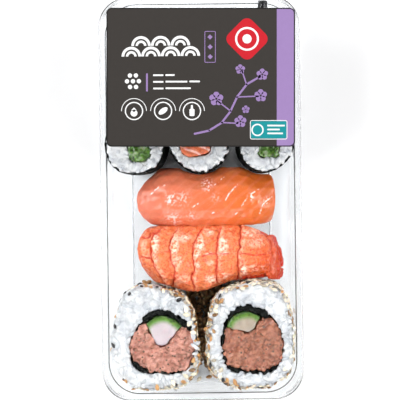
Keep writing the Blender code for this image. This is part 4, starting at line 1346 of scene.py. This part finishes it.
class SUSHI_OT_wide_rolls(bpy.types.Operator):
    """Dresses the two wide rolls: rice outside, nori, fish mix and cucumber inside."""

    bl_idname = "sushi.wide_rolls"
    bl_label = "Wide rolls"

    def execute(self, context):
        mix_look = mix_material()
        for name, middle, seed in WIDE_ROLLS:
            warm = 1.0 if name == "right" else 0.0
            nori = self.nori(name, middle, seed)
            mix = self.mix(name, middle, seed, warm)
            finish_piece(mix, mix_look, (f"uramaki_{name}_filling",))
            stick = self.cucumber(name, middle, warm)
            self.rice(name, middle, seed, (nori, mix, stick))
        return {"FINISHED"}

    def covered(self, name, angle):
        """1 where rice hides the nori's edge on the cut face, by angle."""
        bare = np.zeros(len(angle))
        for start, end, share in NORI_ARCS[name]:
            inside = np.minimum((angle - start) % 360, (end - angle) % 360)
            inside = np.where((angle - start) % 360 <= (end - start) % 360, inside, 0.0)
            bare = np.maximum(bare, share * unit(inside / ARC_FADE))
        return 1.0 - bare

    def nori(self, name, middle, seed):
        nori = fine_copy(f"uramaki_{name}_nori", f"wide_{name}_nori", 0.38, 2)
        co = places(nori.data)
        co = push(nori, 0.7 * lumps(co, 2.6, seed) + 0.3 * lumps(co, 0.9, seed))
        _, angle, height = around(nori, middle)
        sunk = self.covered(name, angle) * unit((height - 22.0) / 4.0)
        co[:, 2] -= NORI_SUNK * MM * sunk
        set_places(nori.data, co)
        finish_piece(nori, bpy.data.materials["Nori"], (f"uramaki_{name}_nori",))
        return nori

    def mix(self, name, middle, seed, warm):
        mix = fine_copy(f"uramaki_{name}_filling", f"wide_{name}_mix", 0.36, 5)
        co = places(mix.data)
        crease = np.exp(-((lumps(co, 2.6, seed + 6) / 0.16) ** 2))
        crease *= unit(0.4 + lumps(co, 4.0, seed))
        co = push(mix, 0.5 * lumps(co, 3.2, seed) + 0.5 * lumps(co, 1.3, seed + 2) - 0.9 * crease)
        # Painted shade: the creases are sunk and painted dark
        paint(mix.data, "crease", np.clip(crease, 0.0, 0.9))
        paint(mix.data, "warm", np.full(len(co), warm))
        reach, angle, height = around(mix, middle)
        wider = MIX_SPREAD * self.covered(name, angle) * unit((height - 26.0) / 1.5)
        wider *= unit((reach - 7.0) / 4.0)
        co[:, :2] += (co[:, :2] - np.array(middle) * MM) / (reach * MM)[:, None] * (wider * MM)[:, None]
        set_places(mix.data, co)
        return mix

    def cucumber(self, name, middle, warm):
        """The stick, with a band of green under the skin along its outer side."""
        stick = fine_copy(f"uramaki_{name}_cucumber", f"wide_{name}_cucumber", 0.35, 4)
        push(stick, 0.35 + 0.2 * lumps(places(stick.data), 3.0, 4))
        reach, angle, _ = around(stick, middle)
        angle = (angle + 90) % 360
        steps = np.arange(0, 360, 6)
        rim = np.array([max(reach[np.abs(angle - step) < 5], default=0.0) for step in steps])
        edge = np.interp(angle, steps, rim)
        skin = unit((reach - edge + SKIN_DEPTH) / SKIN_DEPTH) * unit(edge / 1.5 - 6.0)
        paint(stick.data, "skin", skin)
        paint(stick.data, "warm", np.full(len(skin), warm))
        finish_piece(stick, bpy.data.materials["Cucumber"], (f"uramaki_{name}_cucumber",))
        return stick

    def rice(self, name, middle, seed, inner):
        node = f"uramaki_{name}_rice"
        core = fine_copy(node, f"wide_{name}_rice", 0.7, 6, 0.25)
        co = places(core.data) / MM
        inward = INWARD[name]
        # Painted shade: the core darkens low down on the side that faces the other roll
        facing = unit((co[:, 0] - middle[0]) * inward / 3.0 - 2.5)
        paint(core.data, "deep", facing * unit((27.5 - co[:, 2]) / 6.0))
        guard = surface_of(*inner)

        def outside(point, normal):
            # Low in the gap between the rolls, seeds take the place of grains
            if inward * (point.x / MM - middle[0]) > GAP_START and point.z < GAP_TOP * MM:
                return False
            if abs(normal.z) < 0.4 and guard.find_nearest(point, 0.0022)[0] is not None:
                return False
            return guard.find_nearest(point, 0.0003)[0] is None

        def shade_near_nori(point):
            """Painted shade: on the cut face, grains are darker close to the nori and the filling."""
            if point.z < 26 * MM:
                return 1.0
            return min(1.0, 0.5 + guard.find_nearest(point)[3] / (6.0 * MM))

        grains = f"wide_{name}_grains"
        add_grains(grains, core, node, WIDE_GRAINS, seed, outside, WIDE_ROLL_TOP, shade_near_nori)


def seed_template(length):
    """A flat drop: a ball drawn out and pinched at one end."""
    co, faces = drawn_ball(length, length * 0.6, length * 0.3)
    co[:, 1:] *= (1.0 - 0.45 * unit(-2 * co[:, 0] / length) ** 1.5)[:, None]
    return co, faces


def seed_material(name, tint):
    """Dull seed coats, each seed with a tone of its own, which differs at random and is darker, as
    painted shade, low between the wide rolls.
    """
    material, tree, shader = new_material(
        name, Roughness=0.38, Coat_Weight=0.25, Coat_Roughness=0.2, Subsurface_Weight=0.1,
        Subsurface_Scale=0.001,
    )
    ground = mottled(tree, tint, toned(tint, 0.72), 900.0)
    tone = ramp(tree, painted(tree, "tone"), ((0.0, 0.35), (0.5, 0.8), (1.0, 1.0)))
    dress(tree, shader, blended(tree, 1.0, ground, tone, "MULTIPLY"), 1800.0, 0.25)
    return material


# How thick the seeds lie round each wide roll: angle in degrees, share of places that get a seed,
# share of white, share of toasted (the rest is black), and how far in they lie on the cut face
SEED_COVER = {
    "left": ((0, 1.0, 0.45, 0.52, 4.0), (40, 1.0, 0.6, 0.38, 4.5), (68, 0.85, 0.65, 0.3, 3.5),
             (80, 0.4, 0.6, 0.35, 2.0), (90, 0.08, 0.4, 0.5, 1.0), (110, 0.02, 0.2, 0.6, 1.0),
             (215, 0.0, 0.0, 0.5, 1.0), (240, 0.15, 0.7, 0.25, 1.5), (280, 0.6, 0.7, 0.28, 3.5),
             (320, 1.0, 0.65, 0.33, 5.0)),
    "right": ((0, 0.15, 0.8, 0.2, 1.5), (25, 0.4, 0.6, 0.4, 1.5), (45, 0.9, 0.7, 0.3, 2.5),
              (65, 0.9, 0.8, 0.17, 2.5), (90, 0.7, 0.8, 0.15, 2.5), (110, 0.9, 0.7, 0.24, 3.0),
              (130, 1.0, 0.65, 0.33, 4.5), (180, 1.0, 0.5, 0.48, 3.5), (220, 1.0, 0.55, 0.42, 4.0),
              (250, 0.7, 0.7, 0.26, 3.5), (285, 0.5, 0.75, 0.22, 2.5), (300, 0.15, 0.8, 0.2, 1.5),
              (325, 0.35, 0.9, 0.1, 3.0)),
}
# The heaped seeds are given the darkest tones, as painted shade
HEAPED_SEEDS = 260  # down in the gap between the wide rolls
# Seeds that are seen singly: kind, place and turn in degrees
SINGLE_SEEDS = (
    ("black", -32.2, -42.4, 60), ("black", -29.2, -39.7, 25), ("toasted", -26.6, -38.6, 150),
    ("toasted", -24.9, -38.6, 20), ("black", -12.1, -43.4, 0), ("black", -4.4, -73.4, 15),
    ("black", 21.0, -38.2, 0), ("black", 13.4, -40.0, 170), ("black", 11.0, -41.4, 20),
    ("black", -12.2, -82.6, 100), ("toasted", -5.8, -80.6, 30), ("toasted", 3.9, -78.6, 170),
    ("toasted", -34.1, -81.0, 120), ("toasted", 19.0, -84.4, 60), ("toasted", 40.0, -52.9, 150),
    ("black", -39.9, -57.9, 40), ("black", -41.2, -63.9, 75), ("black", -28.1, -87.0, 170),
    ("black", -12.9, -86.4, 80), ("black", 13.1, -86.6, 75), ("black", 41.3, -63.6, 110),
    ("toasted", 2.6, -83.0, 10), ("white", -2.0, -84.0, 50), ("black", -38.6, -56.4, 30),
)


class SUSHI_OT_seeds(bpy.types.Operator):
    """Strews white, toasted and black sesame over the outside of the wide rolls."""

    bl_idname = "sushi.seeds"
    bl_label = "Sesame seeds"

    def execute(self, context):
        seeds = context.scene.sushi_seeds
        template = seed_template(seeds.length)
        kinds = {"white": [], "toasted": [], "black": []}
        for name, middle, number in WIDE_ROLLS:
            self.strew(kinds, name, middle, random.Random(number + 100))
        cores = [bpy.data.objects[f"wide_{name}_rice"] for name, _, _ in WIDE_ROLLS]
        ground = surface_of(*cores, bpy.data.objects["tray_moulded"])

        def below(x, y):
            """Point and normal of the food or tray at a place, seen from above."""
            return ground.ray_cast(Vector((x * MM, y * MM, 1.0)), Vector((0, 0, -1)))[:2]

        for kind, x, y, turn in SINGLE_SEEDS:
            hit, normal = below(x, y)
            matrix = lay(hit, normal, math.radians(turn), (1, 1, 1), 0.6)
            kinds[kind].append((matrix, 0.9))
        draw = random.Random(7)
        while len(kinds["toasted"]) < len(kinds["white"]) + HEAPED_SEEDS:
            hit, _ = below(draw.uniform(*HEAP_X), draw.uniform(*HEAP_Y))
            if hit.z < HEAP_TOP * MM:
                matrix = lay(hit, Vector((0, 0, 1)), draw.uniform(0, 6), (1, 1, 1),
                             draw.uniform(0.5, 6), draw.uniform(-0.6, 0.6))
                # Painted shade: the heaped seeds get the darkest tones
                kinds["toasted"].append((matrix, draw.uniform(0.0, 0.25)))
        for kind, tint in (("white", seeds.pale), ("toasted", seeds.gold), ("black", seeds.black)):
            matrices, tones = zip(*kinds[kind])
            piece = joined_copies(f"sesame_{kind}", template, matrices, np.array(tones))
            finish_piece(piece, seed_material(f"{kind.capitalize()} sesame", tuple(tint)))
        return {"FINISHED"}

    def strew(self, kinds, name, middle, draw):
        """Adds the seeds of one roll: crowded where the rolls face each other, sparse elsewhere."""
        core = bpy.data.objects[f"wide_{name}_rice"]
        rims = self.outline(core, middle)
        angles, cover, white, toasted, inset = zip(*SEED_COVER[name])

        def bearing(point):
            """Angle in degrees, seen from the middle of the roll."""
            return math.degrees(math.atan2(point.y / MM - middle[1], point.x / MM - middle[0])) % 360

        def outer(point, normal):
            """Keeps places on the wall, and near the rim of the cut face, by the table's chances."""
            away = Vector((point.x / MM - middle[0], point.y / MM - middle[1], 0.0))
            angle = bearing(point)
            if away.length < 12 or point.z < 4 * MM or normal.z < -0.5:
                return False
            chance = np.interp(angle, angles, cover, period=360)
            if normal.z > 0.6:
                depth = rims[int(round(angle / 6)) % 60] - away.length
                chance *= 1.0 - depth / np.interp(angle, angles, inset, period=360)
            elif normal.xy.dot(away.xy) < 0.0:
                return False
            return draw.random() < chance

        for point, normal in sampled(core, ROLL_SEEDS, SEED_GAP, draw, outer):
            angle = bearing(point)
            pick = draw.random()
            pale = np.interp(angle, angles, white, period=360)
            kind = "white" if pick < pale else "toasted"
            if pick > pale + np.interp(angle, angles, toasted, period=360):
                kind = "black"
            grow = draw.uniform(0.8, 1.1)
            matrix = lay(point, normal, draw.uniform(0, 2 * math.pi), (grow,) * 3,
                         draw.uniform(0.5, 1.1), draw.uniform(-0.35, 0.35))
            # Low in the gap between the rolls, seeds are toasted and in shade
            inward = (point.x / MM - middle[0]) * INWARD[name] > 9
            sunk = min(max((25 * MM - point.z) / (10 * MM), 0.0), 1.0) if inward else 0.0
            if sunk > 0.4 and draw.random() < 0.8:
                kind = "toasted"
            kinds[kind].append((matrix, draw.random() * (1.0 - sunk)))

    @staticmethod
    def outline(core, middle):
        """How far the roll's wall reaches, by steps of 6 degrees."""
        co = places(core.data) / MM
        co = co[co[:, 2] > WIDE_ROLL_TOP * 0.5]
        away = co[:, :2] - np.array(middle)
        step = np.round(np.degrees(np.arctan2(away[:, 1], away[:, 0])) / 6).astype(int) % 60
        reach = np.zeros(60)
        np.maximum.at(reach, step, np.linalg.norm(away, axis=1))
        return reach


class SUSHI_OT_stage(bpy.types.Operator):
    """Adds the pale floor, the soft lights and the camera straight above."""

    bl_idname = "sushi.stage"
    bl_label = "Stage"

    def execute(self, context):
        stage = context.scene.sushi_stage
        rest()
        bpy.ops.mesh.primitive_plane_add(size=3.0, location=(0, 0, -0.0002))
        floor = bpy.context.object
        floor.name = "floor"
        material, tree, shader = new_material("Pale floor", Roughness=0.9)
        tone = mottled(tree, (0.99, 0.99, 0.99), (0.98, 0.98, 0.985), 3.0)
        tree.links.new(tone, shader.inputs["Base Color"])
        floor.data.materials.append(material)

        world = bpy.data.worlds.new("Studio")
        context.scene.world = world
        world.use_nodes = True
        tree = world.node_tree
        sky = tree.nodes["Background"]
        corner = tree.nodes.new("ShaderNodeTexCoord")
        height = add_node(tree, "ShaderNodeSeparateXYZ", {0: corner.outputs["Generated"]})
        glow = ramp(tree, height.outputs["Z"], SKY_BRIGHTNESS)
        tree.links.new(glow, sky.inputs["Color"])
        sky.inputs["Strength"].default_value = stage.sky

        for name, place, power in LIGHTS:
            data = bpy.data.lights.new(name, "AREA")
            data.size = LIGHT_WIDTH
            data.energy = stage.key * power
            lamp = bpy.data.objects.new(name, data)
            lamp.location = place
            toward = Vector((0, 0, 0.02)) - Vector(place)
            lamp.rotation_euler = toward.to_track_quat("-Z", "Y").to_euler()
            context.scene.collection.objects.link(lamp)

        data = bpy.data.cameras.new("Camera")
        data.sensor_width = 36.0
        data.lens = stage.lens
        camera = bpy.data.objects.new("Camera", data)
        camera.location = (*CAMERA_SHIFT, stage.height)
        camera.rotation_euler = (0.0, 0.0, CAMERA_TURN)
        context.scene.collection.objects.link(camera)
        context.scene.camera = camera
        context.scene.view_settings.view_transform = "Standard"
        return {"FINISHED"}


class SUSHI_PT_panel(bpy.types.Panel):
    """Lists the steps in the sidebar."""

    bl_idname = "SUSHI_PT_panel"
    bl_label = "Sushi Tray"
    bl_space_type = "VIEW_3D"
    bl_region_type = "UI"
    bl_category = "Sushi Tray"

    def draw(self, context):
        for operator in OPERATORS:
            self.layout.operator(operator.bl_idname)


SETTINGS = {
    "sushi_pack": PackSettings,
    "sushi_rice": RiceSettings,
    "sushi_filling": FillingSettings,
    "sushi_seeds": SeedSettings,
    "sushi_stage": StageSettings,
}
OPERATORS = (
    SUSHI_OT_tray,
    SUSHI_OT_lid,
    SUSHI_OT_label,
    SUSHI_OT_label_print,
    SUSHI_OT_ampoule,
    SUSHI_OT_thin_rolls,
    SUSHI_OT_salmon_nigiri,
    SUSHI_OT_shrimp_nigiri,
    SUSHI_OT_wide_rolls,
    SUSHI_OT_seeds,
    SUSHI_OT_stage,
)


def register():
    for group in SETTINGS.values():
        bpy.utils.register_class(group)
    for name, group in SETTINGS.items():
        setattr(bpy.types.Scene, name, PointerProperty(type=group))
    for operator in (*OPERATORS, SUSHI_PT_panel):
        bpy.utils.register_class(operator)


def unregister():
    for operator in reversed((*OPERATORS, SUSHI_PT_panel)):
        bpy.utils.unregister_class(operator)
    for name, group in SETTINGS.items():
        delattr(bpy.types.Scene, name)
        bpy.utils.unregister_class(group)


def main():
    register()
    build_groups()
    for operator in OPERATORS:
        step = operator.bl_idname.split(".")[1]
        if getattr(bpy.ops.sushi, step)() != {"FINISHED"}:
            raise RuntimeError(f"{operator.bl_label} did not finish")


if __name__ == "__main__":
    main()
